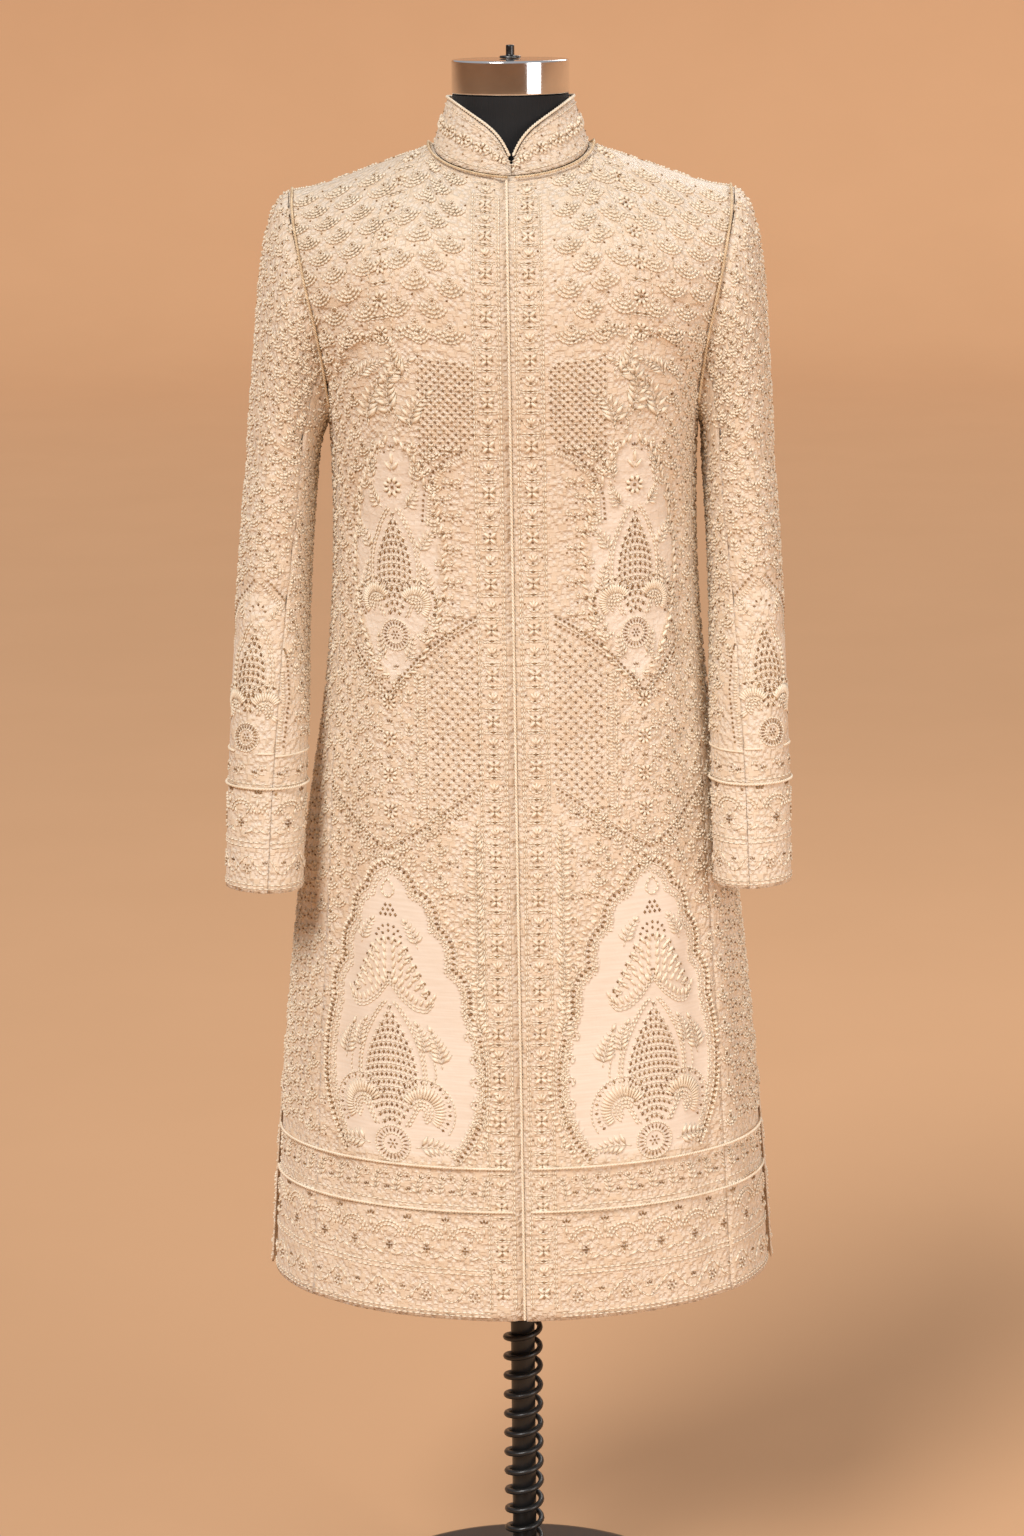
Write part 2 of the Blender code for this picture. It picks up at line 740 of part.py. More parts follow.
def collar_piping_line():
    """The piping on the collar's top edge; its ends stop short of each other at the front."""
    line = []
    for turn in collar_turns():
        if abs(turn) > PIPING_HALF_TURN:
            continue
        edge = collar_edge(turn)
        out = collar_out(turn, collar_height(turn))
        ahead = (collar_edge(turn + 0.5) - collar_edge(turn - 0.5)).normalized()
        up = out.cross(ahead)
        line.append(edge + up * (PIPING_RADIUS + LAYER_GAP) - out * CLOTH / 2)
    return line


def neck_cord_line():
    """The cord on the neck seam, just outside the collar."""
    line = []
    for k in range(NECK_CORD_SPANS + 1):
        turn = mix(-NECK_CORD_HALF_TURN, NECK_CORD_HALF_TURN, k / NECK_CORD_SPANS)
        place = neck_point(turn)
        out = body_out(place, abs(turn) < 90)
        ahead = (neck_point(turn + 0.5) - neck_point(turn - 0.5)).normalized()
        away = out.cross(ahead)
        line.append(place + (away + out) * (CORD_RADIUS + 4 * LAYER_GAP))
    return line


def armhole_cord_line(side):
    """The cord on the armhole seam, over the shoulder from the back to the front."""
    line = []
    for k in range(ARMHOLE_CORD_SPANS + 1):
        turn = mix(*ARMHOLE_CORD_TURNS, k / ARMHOLE_CORD_SPANS)
        place, behind = armhole_point(turn)
        out = body_out(place, behind)
        ahead = armhole_point(turn + 2)[0] - armhole_point(turn - 2)[0]
        inward = ahead.cross(out).normalized()
        place = place + inward * CORD_RADIUS * 2.6 + out * (CORD_RADIUS + 2 * LAYER_GAP)
        line.append(Vector((place.x * side, place.y, place.z)))
    return line


def cuff_cord_line(side_name):
    side = 1 if side_name == "left" else -1
    splay = SLEEVE_SPLAY[side_name]
    top_z = SLEEVE_SECTIONS[0][0]
    down = 1.0 + (top_z - CUFF_CORD_Z) / (top_z - CUFF_Z)
    line = []
    for k in range(CUFF_CORD_SPANS):
        turn = 360 * k / CUFF_CORD_SPANS
        place = sleeve_point(turn, down, splay)
        place = place + sleeve_out(turn, down, splay) * (CORD_RADIUS + LAYER_GAP)
        line.append(Vector((place.x * side, place.y, place.z)))
    return line


def hem_cord_line(side, z):
    """A cord across one front and its side panel, from the opening to the slit."""
    start_x = opening_x(z) * side + HEM_CORD_START[side]
    first, last = turn_at(start_x, z), turn_beside(90.0, z, -HEM_CORD_STOP)
    line = []
    for k in range(HEM_CORD_SPANS + 1):
        place = ring_point(mix(first, last, k / HEM_CORD_SPANS), z)
        place = place + body_out(place, False) * (CORD_RADIUS + LAYER_GAP)
        line.append(Vector((place.x * side, place.y, place.z)))
    return line


def front_piping_line():
    """The piping along the left front's edge, from the hem up to the collar."""
    line = []
    low, high = HEM_Z + PIPING_RADIUS, NECK_FRONT_Z - 2 * PIPING_RADIUS
    for k in range(FRONT_PIPING_SPANS + 1):
        z = mix(low, high, k / FRONT_PIPING_SPANS)
        x = opening_x(z)
        place = Vector((x, body_y(x, z, False), z))
        line.append(place - Vector((PIPING_RADIUS + SEAM_GAP, 0.0, 0.0)))
    return line


# ---------------------------------------------------------------- dress form
def add_torso(material, collection):
    """The padded torso and neck: level rings joined up, closed at both ends."""
    torso = bmesh.new()
    rings = []
    for z, wide, front, back in FORM_SECTIONS:
        ring = []
        for k in range(FORM_SIDES):
            angle = 2 * math.pi * k / FORM_SIDES
            power = 2 / FORM_SQUARENESS
            x = wide * math.copysign(abs(math.sin(angle)) ** power, math.sin(angle))
            cos = math.cos(angle)
            y = -(front if cos > 0 else back) * math.copysign(abs(cos) ** power, cos)
            ring.append(torso.verts.new((x, y, z)))
        rings.append(ring)
    for lower, upper in zip(rings, rings[1:]):
        for k in range(FORM_SIDES):
            after = (k + 1) % FORM_SIDES
            torso.faces.new((lower[k], lower[after], upper[after], upper[k]))
    torso.faces.new(rings[0])
    torso.faces.new(rings[-1])
    bmesh.ops.recalc_face_normals(torso, faces=torso.faces)
    mesh = bpy.data.meshes.new("torso")
    torso.to_mesh(mesh)
    torso.free()
    mesh.shade_smooth()
    mesh.set_sharp_from_angle(angle=math.radians(50))
    return add_object("torso", mesh, material, collection)


def spring_line():
    turns = (SPRING_HEAD_Z - SPRING_FOOT_Z) / SPRING_PITCH
    line = []
    for k in range(int(turns * SPRING_STEPS_A_TURN) + 1):
        turn = k / SPRING_STEPS_A_TURN
        angle = 2 * math.pi * turn
        x, y = SPRING_RADIUS * math.cos(angle), SPRING_RADIUS * math.sin(angle)
        line.append(Vector((x, y, SPRING_FOOT_Z + SPRING_PITCH * turn)))
    return line


def collar_ring(low_z, high_z):
    """The profile of a ring round the pole, closed by its own last point."""
    inner, outer, edge = POLE_RADIUS + SEAM_GAP, HUB_RADIUS, 0.0015
    return [
        (inner, high_z),
        (outer - edge, high_z),
        (outer, high_z - edge),
        (outer, low_z + edge),
        (outer - edge, low_z),
        (inner, low_z),
        (inner, high_z),
    ]


def add_neck_cap(materials, collection):
    """The polished cap on the neck, and the pin that stands on it."""
    cap_foot = FORM_NECK_Z
    cap_top = cap_foot + NECK_CAP_HEIGHT
    edge = 0.0016
    cap = [
        (0.0, cap_top),
        (NECK_CAP_RADIUS - 2 * edge, cap_top),
        (NECK_CAP_RADIUS - edge, cap_top - 0.3 * edge),
        (NECK_CAP_RADIUS, cap_top - 1.3 * edge),
        (NECK_CAP_RADIUS, cap_foot),
        (0.0, cap_foot),
    ]
    add_turned("neck_cap", cap, materials["chrome"], collection)
    pin_foot = cap_top + SEAM_GAP
    pin = [
        (0.0, pin_foot + PIN_HEIGHT),
        (0.0030, pin_foot + PIN_HEIGHT - 0.0004),
        (0.0040, pin_foot + PIN_HEIGHT - 0.0016),
        (0.0040, pin_foot + 0.0026),
        (0.0095, pin_foot + 0.0020),
        (0.0100, pin_foot),
        (0.0, pin_foot),
    ]
    add_turned("cap_pin", pin, materials["dark_steel"], collection, steps=16)


def add_pole(paint, collection):
    """The socket under the torso, and the pole that runs from it down to the base's hub."""
    socket_top = FORM_FOOT_Z - SEAM_GAP
    socket_foot = socket_top - SOCKET_LENGTH
    socket = [
        (0.0, socket_top),
        (0.0550, socket_top),
        (0.0550, socket_top - 0.006),
        (0.0220, socket_top - 0.012),
        (0.0190, socket_top - 0.016),
        (0.0190, socket_foot),
        (0.0, socket_foot),
    ]
    add_turned("torso_socket", socket, paint, collection, steps=24)
    pole_top, pole_foot = socket_foot - SEAM_GAP, HUB_TOP_Z + SEAM_GAP
    pole = [(0.0, pole_top), (POLE_RADIUS, pole_top), (POLE_RADIUS, pole_foot), (0.0, pole_foot)]
    add_turned("pole", pole, paint, collection, steps=24)


def add_base(paint, collection):
    base = [
        (0.0, HUB_TOP_Z),
        (HUB_RADIUS - 0.0015, HUB_TOP_Z),
        (HUB_RADIUS, HUB_TOP_Z - 0.0015),
        (HUB_RADIUS, 0.030),
        (0.0300, 0.022),
        (0.1000, 0.0175),
        (BASE_RADIUS - 0.010, 0.0125),
        (BASE_RADIUS - 0.002, 0.0100),
        (BASE_RADIUS, 0.0070),
        (BASE_RADIUS, 0.0),
        (0.0, 0.0),
    ]
    add_turned("base", base, paint, collection)


def add_spring(paint, collection):
    """The height spring round the pole, between its two rings."""
    line = spring_line()
    add_tube("spring", line, SPRING_WIRE, paint, collection)
    foot_ring = collar_ring(HUB_TOP_Z + SEAM_GAP, SPRING_FOOT_Z - SPRING_WIRE - SEAM_GAP)
    add_turned("spring_foot_ring", foot_ring, paint, collection, steps=24)
    head_z = line[-1].z + SPRING_WIRE + SEAM_GAP
    head_ring = collar_ring(head_z, head_z + HEAD_RING_HEIGHT)
    add_turned("spring_head_ring", head_ring, paint, collection, steps=24)


def build_dress_form(materials, collection):
    paint = materials["black_paint"]
    add_torso(materials["black_jersey"], collection)
    add_neck_cap(materials, collection)
    add_pole(paint, collection)
    add_base(paint, collection)
    add_spring(paint, collection)


# ---------------------------------------------------------------- the coat
def build_coat(materials, collection):
    cloth = materials["ivory_cloth"]
    gold, cream = materials["gold_cord"], materials["cream_thread"]
    add_wall("left_front", half_panel(1, False, LEFT_LINES, no_sink), cloth, collection)
    add_wall("right_front", half_panel(-1, False, RIGHT_LINES, underlap_sink), cloth, collection)
    add_wall("back", back_grid(), cloth, collection)
    add_wall("collar", collar_grid(), cloth, collection)
    add_tube("collar_piping", collar_piping_line(), PIPING_RADIUS, cream, collection)
    add_tube("neck_cord", neck_cord_line(), CORD_RADIUS, gold, collection)
    add_tube("front_piping", front_piping_line(), PIPING_RADIUS, cream, collection)
    under_first, under_last = 180 - UNDER_SLEEVE_HALF_SPAN, 180 + UNDER_SLEEVE_HALF_SPAN
    for name, side in (("left", 1), ("right", -1)):
        add_wall(f"{name}_side", side_grid(side), cloth, collection)
        upper = sleeve_grid(name, under_last - 360, under_first, UPPER_SLEEVE_SPANS)
        add_wall(f"{name}_upper_sleeve", upper, cloth, collection)
        under = sleeve_grid(name, under_first, under_last, UNDER_SLEEVE_SPANS)
        add_wall(f"{name}_under_sleeve", under, cloth, collection)
        add_tube(f"{name}_armhole_cord", armhole_cord_line(side), CORD_RADIUS, gold, collection)
        add_tube(f"{name}_cuff_cord", cuff_cord_line(name), CORD_RADIUS, cream, collection, closed=True)
        for which, z in HEM_CORD_HEIGHTS.items():
            line = hem_cord_line(side, z)
            add_tube(f"{name}_{which}_hem_cord", line, CORD_RADIUS, cream, collection)


def main():
    clear_scene()
    collection = bpy.data.collections.new("sherwani_coat_on_dress_form")
    bpy.context.scene.collection.children.link(collection)
    materials = make_materials()
    build_coat(materials, collection)
    build_dress_form(materials, collection)


main()
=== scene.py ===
"""An embroidered sherwani coat on a limbless dress form: its cloth, needlework and stand.

Metres, +Z up, -Y the coat's front, +X the wearer's left. Every cloth panel is drawn on its own
flat sizes: s runs across the panel and h runs up it, so weave and needlework follow the cut.
"""

import math

import bmesh
import bpy
import numpy as np
from mathutils import Matrix, Vector


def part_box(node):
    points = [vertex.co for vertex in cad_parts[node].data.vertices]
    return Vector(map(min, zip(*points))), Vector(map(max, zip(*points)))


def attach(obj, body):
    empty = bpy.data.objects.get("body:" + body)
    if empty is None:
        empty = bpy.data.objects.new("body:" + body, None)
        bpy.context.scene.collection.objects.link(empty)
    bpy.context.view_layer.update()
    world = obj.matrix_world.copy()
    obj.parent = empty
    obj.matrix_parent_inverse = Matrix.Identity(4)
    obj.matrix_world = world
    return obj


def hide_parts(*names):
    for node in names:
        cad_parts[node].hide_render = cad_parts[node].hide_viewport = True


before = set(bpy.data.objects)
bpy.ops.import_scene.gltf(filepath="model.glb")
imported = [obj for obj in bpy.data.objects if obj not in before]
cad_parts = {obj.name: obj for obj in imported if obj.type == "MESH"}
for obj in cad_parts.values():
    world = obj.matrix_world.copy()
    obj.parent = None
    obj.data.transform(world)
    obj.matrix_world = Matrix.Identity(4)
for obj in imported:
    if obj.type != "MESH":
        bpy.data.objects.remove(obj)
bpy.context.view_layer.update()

# ---------------------------------------------------------------- driving sizes
CLOTH = 0.0018
SEAM_GAP = 0.0003
LAYER_GAP = 0.0006
HEM_Z = 0.382
HEM_RISE = 0.005
SLIT_TOP_Z = 0.80
SLIT_FLARE = 0.005
ARMPIT_Z = 1.246
SIDE_SEAM_TOP_Z = 1.264
SHOULDER_TIP_X = 0.2106
SHOULDER_ROUNDING = 0.11
NECK_SIDE_X = 0.0735
NECK_FRONT_Z = 1.481
NECK_BACK_Z = 1.494
NECK_ROUNDNESS = 1.8
NECK_SHARE = 4 / 9
OPENING_TOP_X = -0.003
OPENING_HEM_X = 0.004
UNDERLAP = 0.024
SINK_START = 0.015
SINK_END = 0.006
CUFF_Z = 0.806
SLEEVE_SQUARENESS = 2.2
SLEEVE_HEAD_PULL = 0.42
SLEEVE_HEAD_BULGE = 0.10
SLEEVE_SPLAY = {"left": 0.0, "right": 0.019}
UNDER_SLEEVE_HALF_SPAN = 56.0
CUFF_CORD_Z = 0.9055

# Each row: height, half width, front depth, back depth, squareness of the coat's outline.
BODY_SECTIONS = [
    (0.382, 0.2495, 0.155, 0.160, 2.00),
    (0.540, 0.2390, 0.149, 0.155, 2.00),
    (0.700, 0.2255, 0.143, 0.150, 2.05),
    (0.800, 0.2140, 0.138, 0.147, 2.10),
    (0.900, 0.1990, 0.133, 0.144, 2.15),
    (0.976, 0.1868, 0.129, 0.139, 2.20),
    (1.060, 0.1782, 0.124, 0.129, 2.25),
    (1.135, 0.1745, 0.122, 0.122, 2.30),
    (1.190, 0.1742, 0.125, 0.123, 2.35),
    (1.246, 0.1765, 0.130, 0.128, 2.40),
    (1.300, 0.1900, 0.133, 0.133, 2.40),
    (1.360, 0.2120, 0.131, 0.133, 2.40),
    (1.410, 0.2260, 0.124, 0.126, 2.40),
    (1.450, 0.2360, 0.108, 0.110, 2.40),
    (1.482, 0.2400, 0.090, 0.090, 2.40),
    (1.545, 0.2400, 0.074, 0.070, 2.40),
]

# Each row: distance from the middle, height of the line over the shoulder.
SHOULDER_LINE = [
    (0.0000, 1.5360),
    (0.0735, 1.5065),
    (0.1330, 1.4860),
    (0.1810, 1.4695),
    (0.2106, 1.4635),
    (0.2500, 1.4560),
]

# Each row: height, half width of the front at the armhole, half width of the back there.
ARMHOLE = [
    (1.246, 0.1735, 0.1765),
    (1.282, 0.1775, 0.1800),
    (1.315, 0.1815, 0.1855),
    (1.343, 0.1865, 0.1905),
    (1.378, 0.1940, 0.1975),
    (1.413, 0.2015, 0.2040),
    (1.440, 0.2075, 0.2085),
    (1.4635, 0.2106, 0.2106),
]

# Each row: height, where the front meets the side panel as a share of the half width.
FRONT_SEAM = [
    (0.382, 0.835),
    (0.540, 0.840),
    (0.790, 0.860),
    (0.967, 0.930),
    (1.110, 0.955),
    (1.264, 0.965),
]

# Each row: minus the height, centre x, centre y, half width seen from the front, half depth, turn.
SLEEVE_SECTIONS = [
    (-1.205, 0.2158, -0.004, 0.0342, 0.062, 0.0),
    (-1.130, 0.2203, -0.012, 0.0342, 0.054, 2.0),
    (-1.050, 0.2233, -0.027, 0.0349, 0.047, 9.0),
    (-0.975, 0.2240, -0.049, 0.0366, 0.040, 18.0),
    (-0.900, 0.2250, -0.067, 0.0369, 0.035, 26.0),
    (-0.806, 0.2264, -0.082, 0.0368, 0.032, 32.0),
]

# Each row: height, half width, front depth, back depth of the dress form.
FORM_SECTIONS = [
    (0.850, 0.150, 0.098, 0.112),
    (0.856, 0.163, 0.108, 0.122),
    (0.880, 0.170, 0.114, 0.129),
    (0.930, 0.173, 0.117, 0.131),
    (1.000, 0.166, 0.113, 0.123),
    (1.060, 0.157, 0.108, 0.112),
    (1.125, 0.152, 0.106, 0.104),
    (1.190, 0.155, 0.110, 0.106),
    (1.250, 0.162, 0.117, 0.114),
    (1.310, 0.169, 0.119, 0.119),
    (1.370, 0.175, 0.114, 0.116),
    (1.415, 0.179, 0.101, 0.104),
    (1.440, 0.174, 0.086, 0.088),
    (1.454, 0.162, 0.077, 0.077),
    (1.466, 0.140, 0.070, 0.068),
    (1.476, 0.112, 0.065, 0.062),
    (1.486, 0.084, 0.060, 0.058),
    (1.498, 0.062, 0.057, 0.055),
    (1.515, 0.056, 0.055, 0.054),
    (1.552, 0.055, 0.055, 0.055),
]

FORM_SQUARENESS = 2.2
COLLAR_TOP_HALF_WIDTH = 0.0595
COLLAR_TOP_FRONT_Y = -0.0615
COLLAR_TOP_BACK_Y = 0.0585
COLLAR_TOP_FRONT_Z = 1.524
COLLAR_TOP_SIDE_Z = 1.548
COLLAR_TOP_BACK_Z = 1.550
COLLAR_CORNER_HEIGHT = 0.17
COLLAR_CORNER_REACH = 0.013


# ---------------------------------------------------------------- small helpers
def read_rows(rows, at, column):
    """A smooth curve through one column of a table whose first column rises."""
    last = len(rows) - 1
    at = min(max(at, rows[0][0]), rows[last][0])
    k = 0
    while k < last - 1 and at > rows[k + 1][0]:
        k += 1
    here, there = rows[k], rows[k + 1]
    span = there[0] - here[0]
    before = rows[max(k - 1, 0)]
    after = rows[min(k + 2, last)]
    slope_in = (there[column] - before[column]) / (there[0] - before[0])
    slope_out = (after[column] - here[column]) / (after[0] - here[0])
    s = (at - here[0]) / span
    return (
        here[column] * (1 + 2 * s) * (1 - s) ** 2
        + there[column] * s * s * (3 - 2 * s)
        + span * slope_in * s * (1 - s) ** 2
        - span * slope_out * s * s * (1 - s)
    )


def ease(low, high, value):
    s = min(max((value - low) / (high - low), 0.0), 1.0)
    return s * s * (3 - 2 * s)


def mix(start, end, share):
    return start + (end - start) * share


def rounded_power(value, power):
    """A power that keeps the sign of its value."""
    return math.copysign(abs(value) ** power, value)


def on_side(place, side):
    """A place as it is on the wearer's left (side 1), or mirrored to the right (side -1)."""
    return Vector((place.x * side, place.y, place.z))


def unit(vectors):
    """The same vectors, each one long."""
    length = np.linalg.norm(vectors, axis=-1, keepdims=True)
    return vectors / np.maximum(length, 1e-9)


# ---------------------------------------------------------------- camera
def add_camera():
    """Seen from in front and a little above, through a long lens."""
    camera = bpy.data.cameras.new("camera")
    camera.lens = 85.0
    camera.sensor_width = 36.0
    camera.shift_x = -0.0034
    camera.clip_start = 0.1
    camera.clip_end = 50.0
    holder = bpy.data.objects.new("camera", camera)
    bpy.context.scene.collection.objects.link(holder)
    pitch, roll = math.radians(13.3), math.radians(-0.57)
    turned = Matrix.Rotation(math.pi / 2 - pitch, 4, "X") @ Matrix.Rotation(roll, 4, "Z")
    holder.matrix_world = Matrix.Translation((0.0, -3.47, 1.72)) @ turned
    bpy.context.scene.camera = holder


# ---------------------------------------------------------------- materials
EVEN = (1.0, 1.0, 1.0)


class Surface:
    """A Principled material and the short cuts that its nodes are made with."""

    def __init__(self, name, roughness, metallic=0.0, sheen=0.0, coat=0.0):
        self.material = bpy.data.materials.new(name)
        self.material.use_nodes = True
        self.tree = self.material.node_tree
        self.shader = self.tree.nodes["Principled BSDF"]
        looks = {"Roughness": roughness, "Metallic": metallic, "Coat Weight": coat}
        looks.update({"Sheen Weight": sheen, "Sheen Roughness": 0.4})
        for look, value in looks.items():
            self.shader.inputs[look].default_value = value

    def node(self, kind, **inputs):
        made = self.tree.nodes.new(kind)
        for name, value in inputs.items():
            made.inputs[name.replace("_", " ")].default_value = value
        return made

    def link(self, start, end):
        self.tree.links.new(start, end)

    def places(self, scale, on_cloth=False):
        """Coordinates in metres: the piece's own, or the cloth's flat sizes."""
        if on_cloth:
            source = self.node("ShaderNodeUVMap").outputs["UV"]
        else:
            source = self.node("ShaderNodeTexCoord").outputs["Object"]
        mapping = self.node("ShaderNodeMapping", Scale=scale)
        self.link(source, mapping.inputs["Vector"])
        return mapping.outputs["Vector"]

    def noise(self, scale, size, detail=3.0, on_cloth=False):
        made = self.node("ShaderNodeTexNoise", Scale=size, Detail=detail)
        self.link(self.places(scale, on_cloth), made.inputs["Vector"])
        return made.outputs["Fac"]

    def weave(self, across, along, on_cloth=True):
        """Crossed threads: their pitch across and along, in metres."""
        rows = []
        for direction, pitch in (("X", across), ("Y", along)):
            wave = self.node("ShaderNodeTexWave", Scale=math.tau / 20 / pitch, Distortion=0.4)
            wave.bands_direction = direction
            self.link(self.places(EVEN, on_cloth), wave.inputs["Vector"])
            rows.append(wave.outputs["Fac"])
        return self.times(*rows)

    def times(self, first, second):
        made = self.node("ShaderNodeMath")
        made.operation = "MULTIPLY"
        self.link(first, made.inputs[0])
        self.link(second, made.inputs[1])
        return made.outputs["Value"]

    def ramp(self, source, *stops):
        made = self.node("ShaderNodeValToRGB")
        elements = made.color_ramp.elements
        while len(elements) < len(stops):
            elements.new(0.5)
        for element, (position, colour) in zip(elements, stops):
            element.position = position
            element.color = (*colour, 1.0)
        self.link(source, made.inputs["Fac"])
        return made.outputs["Color"]

    def blend(self, first, second, share, mode="MIX"):
        made = self.tree.nodes.new("ShaderNodeMix")
        made.data_type = "RGBA"
        made.blend_type = mode
        made.inputs["Factor"].default_value = share
        self.link(first, made.inputs["A"])
        self.link(second, made.inputs["B"])
        return made.outputs["Result"]

    def colour(self, source):
        self.link(source, self.shader.inputs["Base Color"])

    def rough(self, source, low, high):
        made = self.node("ShaderNodeMapRange")
        made.inputs["To Min"].default_value = low
        made.inputs["To Max"].default_value = high
        self.link(source, made.inputs["Value"])
        self.link(made.outputs["Result"], self.shader.inputs["Roughness"])

    def bump(self, *layers):
        """Each layer: a height source, its depth in metres and its strength."""
        below = None
        for source, depth, strength in layers:
            made = self.node("ShaderNodeBump", Strength=strength, Distance=depth)
            self.link(source, made.inputs["Height"])
            if below is not None:
                self.link(below, made.inputs["Normal"])
            below = made.outputs["Normal"]
        self.link(below, self.shader.inputs["Normal"])


def ivory_cloth():
    """Silk-blend cloth: a soft shine, faint slubs, and a stitched ground where the panel is worked."""
    made = Surface("ivory_cloth", 0.5, sheen=0.25)
    slub = made.noise((30.0, 420.0, 30.0), 1.0, 4.0, True)
    cloud = made.noise(EVEN, 9.0, 2.0, True)
    base = made.ramp(cloud, (0.30, (0.86, 0.735, 0.605)), (0.72, (0.92, 0.815, 0.695)))
    threads = made.ramp(slub, (0.35, (0.86, 0.80, 0.72)), (0.65, EVEN))
    woven = made.blend(base, threads, 0.45, "MULTIPLY")
    made.rough(cloud, 0.46, 0.60)
    puckers = made.noise(EVEN, 170.0, 3.0, True)
    knots = made.node("ShaderNodeTexVoronoi", Scale=210.0)
    knots.distance = "CHEBYCHEV"
    made.link(made.places(EVEN, True), knots.inputs["Vector"])
    worked = made.node("ShaderNodeAttribute")
    worked.attribute_name = "worked"
    filling = made.times(knots.outputs["Distance"], worked.outputs["Fac"])
    needled = made.ramp(filling, (0.10, EVEN), (0.55, (0.91, 0.825, 0.71)))
    made.colour(made.blend(woven, needled, 0.9, "MULTIPLY"))
    weave = made.weave(0.0011, 0.0011)
    made.bump((weave, 0.0002, 0.30), (puckers, 0.0008, 0.30), (filling, 0.0034, 0.8))
    return made.material


def black_jersey():
    """Ribbed knit drawn tight over the form."""
    made = Surface("black_jersey", 0.88, sheen=0.06)
    tone = made.noise(EVEN, 30.0, 4.0)
    made.colour(made.ramp(tone, (0.3, (0.006, 0.006, 0.007)), (0.7, (0.014, 0.014, 0.015))))
    made.bump((made.weave(0.0016, 0.0012, False), 0.0005, 0.5), (tone, 0.0006, 0.2))
    return made.material


def grained(name, roughness, drift, tones, spread, grain, **looks):
    """A finish whose colour and roughness drift between tones, with a fine grain.

    drift is the size and detail of the change, and grain is a scale, a size, a depth and a strength.
    """
    made = Surface(name, roughness, **looks)
    tone = made.noise(EVEN, *drift)
    made.colour(made.ramp(tone, *tones))
    if spread:
        made.rough(tone, *spread)
    scale, size, deep, strength = grain
    made.bump((made.noise(scale, size, 2.0), deep, strength))
    return made.material


def satin_and_gold():
    """Satin-stitched rayon, wrapped gold cord and dull antique beads, each bead its own brown gold."""
    pale = (0.25, (0.84, 0.695, 0.51)), (0.75, (0.96, 0.85, 0.68))
    strands = ((900.0, 900.0, 260.0), 1.0, 0.0004, 0.6)
    thread = grained("cream_thread", 0.42, (60.0, 2.0), pale, (0.36, 0.52), strands, sheen=0.2)
    gold = (0.3, (0.60, 0.43, 0.25)), (0.7, (0.85, 0.67, 0.45))
    wrap = (EVEN, 900.0, 0.0003, 0.6)
    cord = grained("gold_cord", 0.5, (120.0, 3.0), gold, None, wrap, metallic=0.25, sheen=0.15)
    browns = (0.3, (0.25, 0.13, 0.055)), (0.55, (0.38, 0.225, 0.105)), (0.75, (0.56, 0.38, 0.20))
    pits = (EVEN, 1500.0, 0.0002, 0.4)
    bead = grained("antique_gold_bead", 0.40, (140.0, 1.0), browns, (0.28, 0.45), pits, metallic=0.35)
    return {"cream_thread": thread, "gold_cord": cord, "antique_gold_bead": bead}


def stand_metals():
    """Satin black paint with a faint orange peel, polished chrome, and brushed dark steel."""
    black = (0.3, (0.006, 0.006, 0.006)), (0.75, (0.017, 0.016, 0.016))
    peel = (EVEN, 700.0, 0.0002, 0.35)
    paint = grained("black_paint", 0.38, (14.0, 5.0), black, (0.30, 0.50), peel, coat=0.15)
    bright = (0.3, (0.72, 0.72, 0.73)), (0.7, (0.86, 0.86, 0.87))
    polish = ((60.0, 60.0, 1600.0), 1.0, 0.00005, 0.25)
    chrome = grained("chrome", 0.09, (25.0, 4.0), bright, (0.07, 0.15), polish, metallic=1.0)
    dark = (0.3, (0.05, 0.05, 0.052)), (0.7, (0.15, 0.145, 0.14))
    brushed = ((300.0, 300.0, 1500.0), 1.0, 0.0001, 0.3)
    steel = grained("dark_steel", 0.32, (120.0, 3.0), dark, (0.24, 0.42), brushed, metallic=1.0)
    return {"black_paint": paint, "chrome": chrome, "dark_steel": steel}


FINISHES = {"ivory_cloth": ivory_cloth(), "black_jersey": black_jersey()}
FINISHES.update(satin_and_gold())
FINISHES.update(stand_metals())


def finish_piece(name, shape, slot, replaces=()):
    """Makes a mesh or a curve a piece of the object: its finish, its body and what it stands for."""
    piece = bpy.data.objects.new(name, shape)
    bpy.context.scene.collection.objects.link(piece)
    shape.materials.append(FINISHES[slot])
    if isinstance(shape, bpy.types.Mesh):
        shape.shade_smooth()
    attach(piece, "root")
    if replaces:
        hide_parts(*replaces)
    return piece


def round_curve(name, radius, resolution, capped):
    """An empty curve that will be drawn as a round strand."""
    curve = bpy.data.curves.new(name, "CURVE")
    curve.dimensions = "3D"
    curve.bevel_depth = radius
    curve.bevel_resolution = resolution
    curve.use_fill_caps = capped
    return curve


def spun(profile, closed, steps, merge):
    """A bmesh turned round the Z axis from places (distance out, height)."""
    made = bmesh.new()
    verts = [made.verts.new((out, 0.0, up)) for out, up in profile]
    edges = [made.edges.new(pair) for pair in zip(verts, verts[1:])]
    if closed:
        edges.append(made.edges.new((verts[-1], verts[0])))
    turn = {"axis": (0, 0, 1), "cent": (0, 0, 0), "angle": math.tau, "steps": steps, "use_merge": True}
    bmesh.ops.spin(made, geom=verts + edges, **turn)
    bmesh.ops.remove_doubles(made, verts=made.verts, dist=merge)
    bmesh.ops.recalc_face_normals(made, faces=made.faces)
    return made


def mesh_from(name, made):
    """The finished mesh of a bmesh, which is freed."""
    mesh = bpy.data.meshes.new(name)
    made.to_mesh(mesh)
    made.free()
    return mesh


# ---------------------------------------------------------------- the coat's surface
def half_width(z, behind=False):
    flare = SLIT_FLARE * (1 - ease(HEM_Z, SLIT_TOP_Z, z)) if behind else 0.0
    return read_rows(BODY_SECTIONS, z, 1) + flare


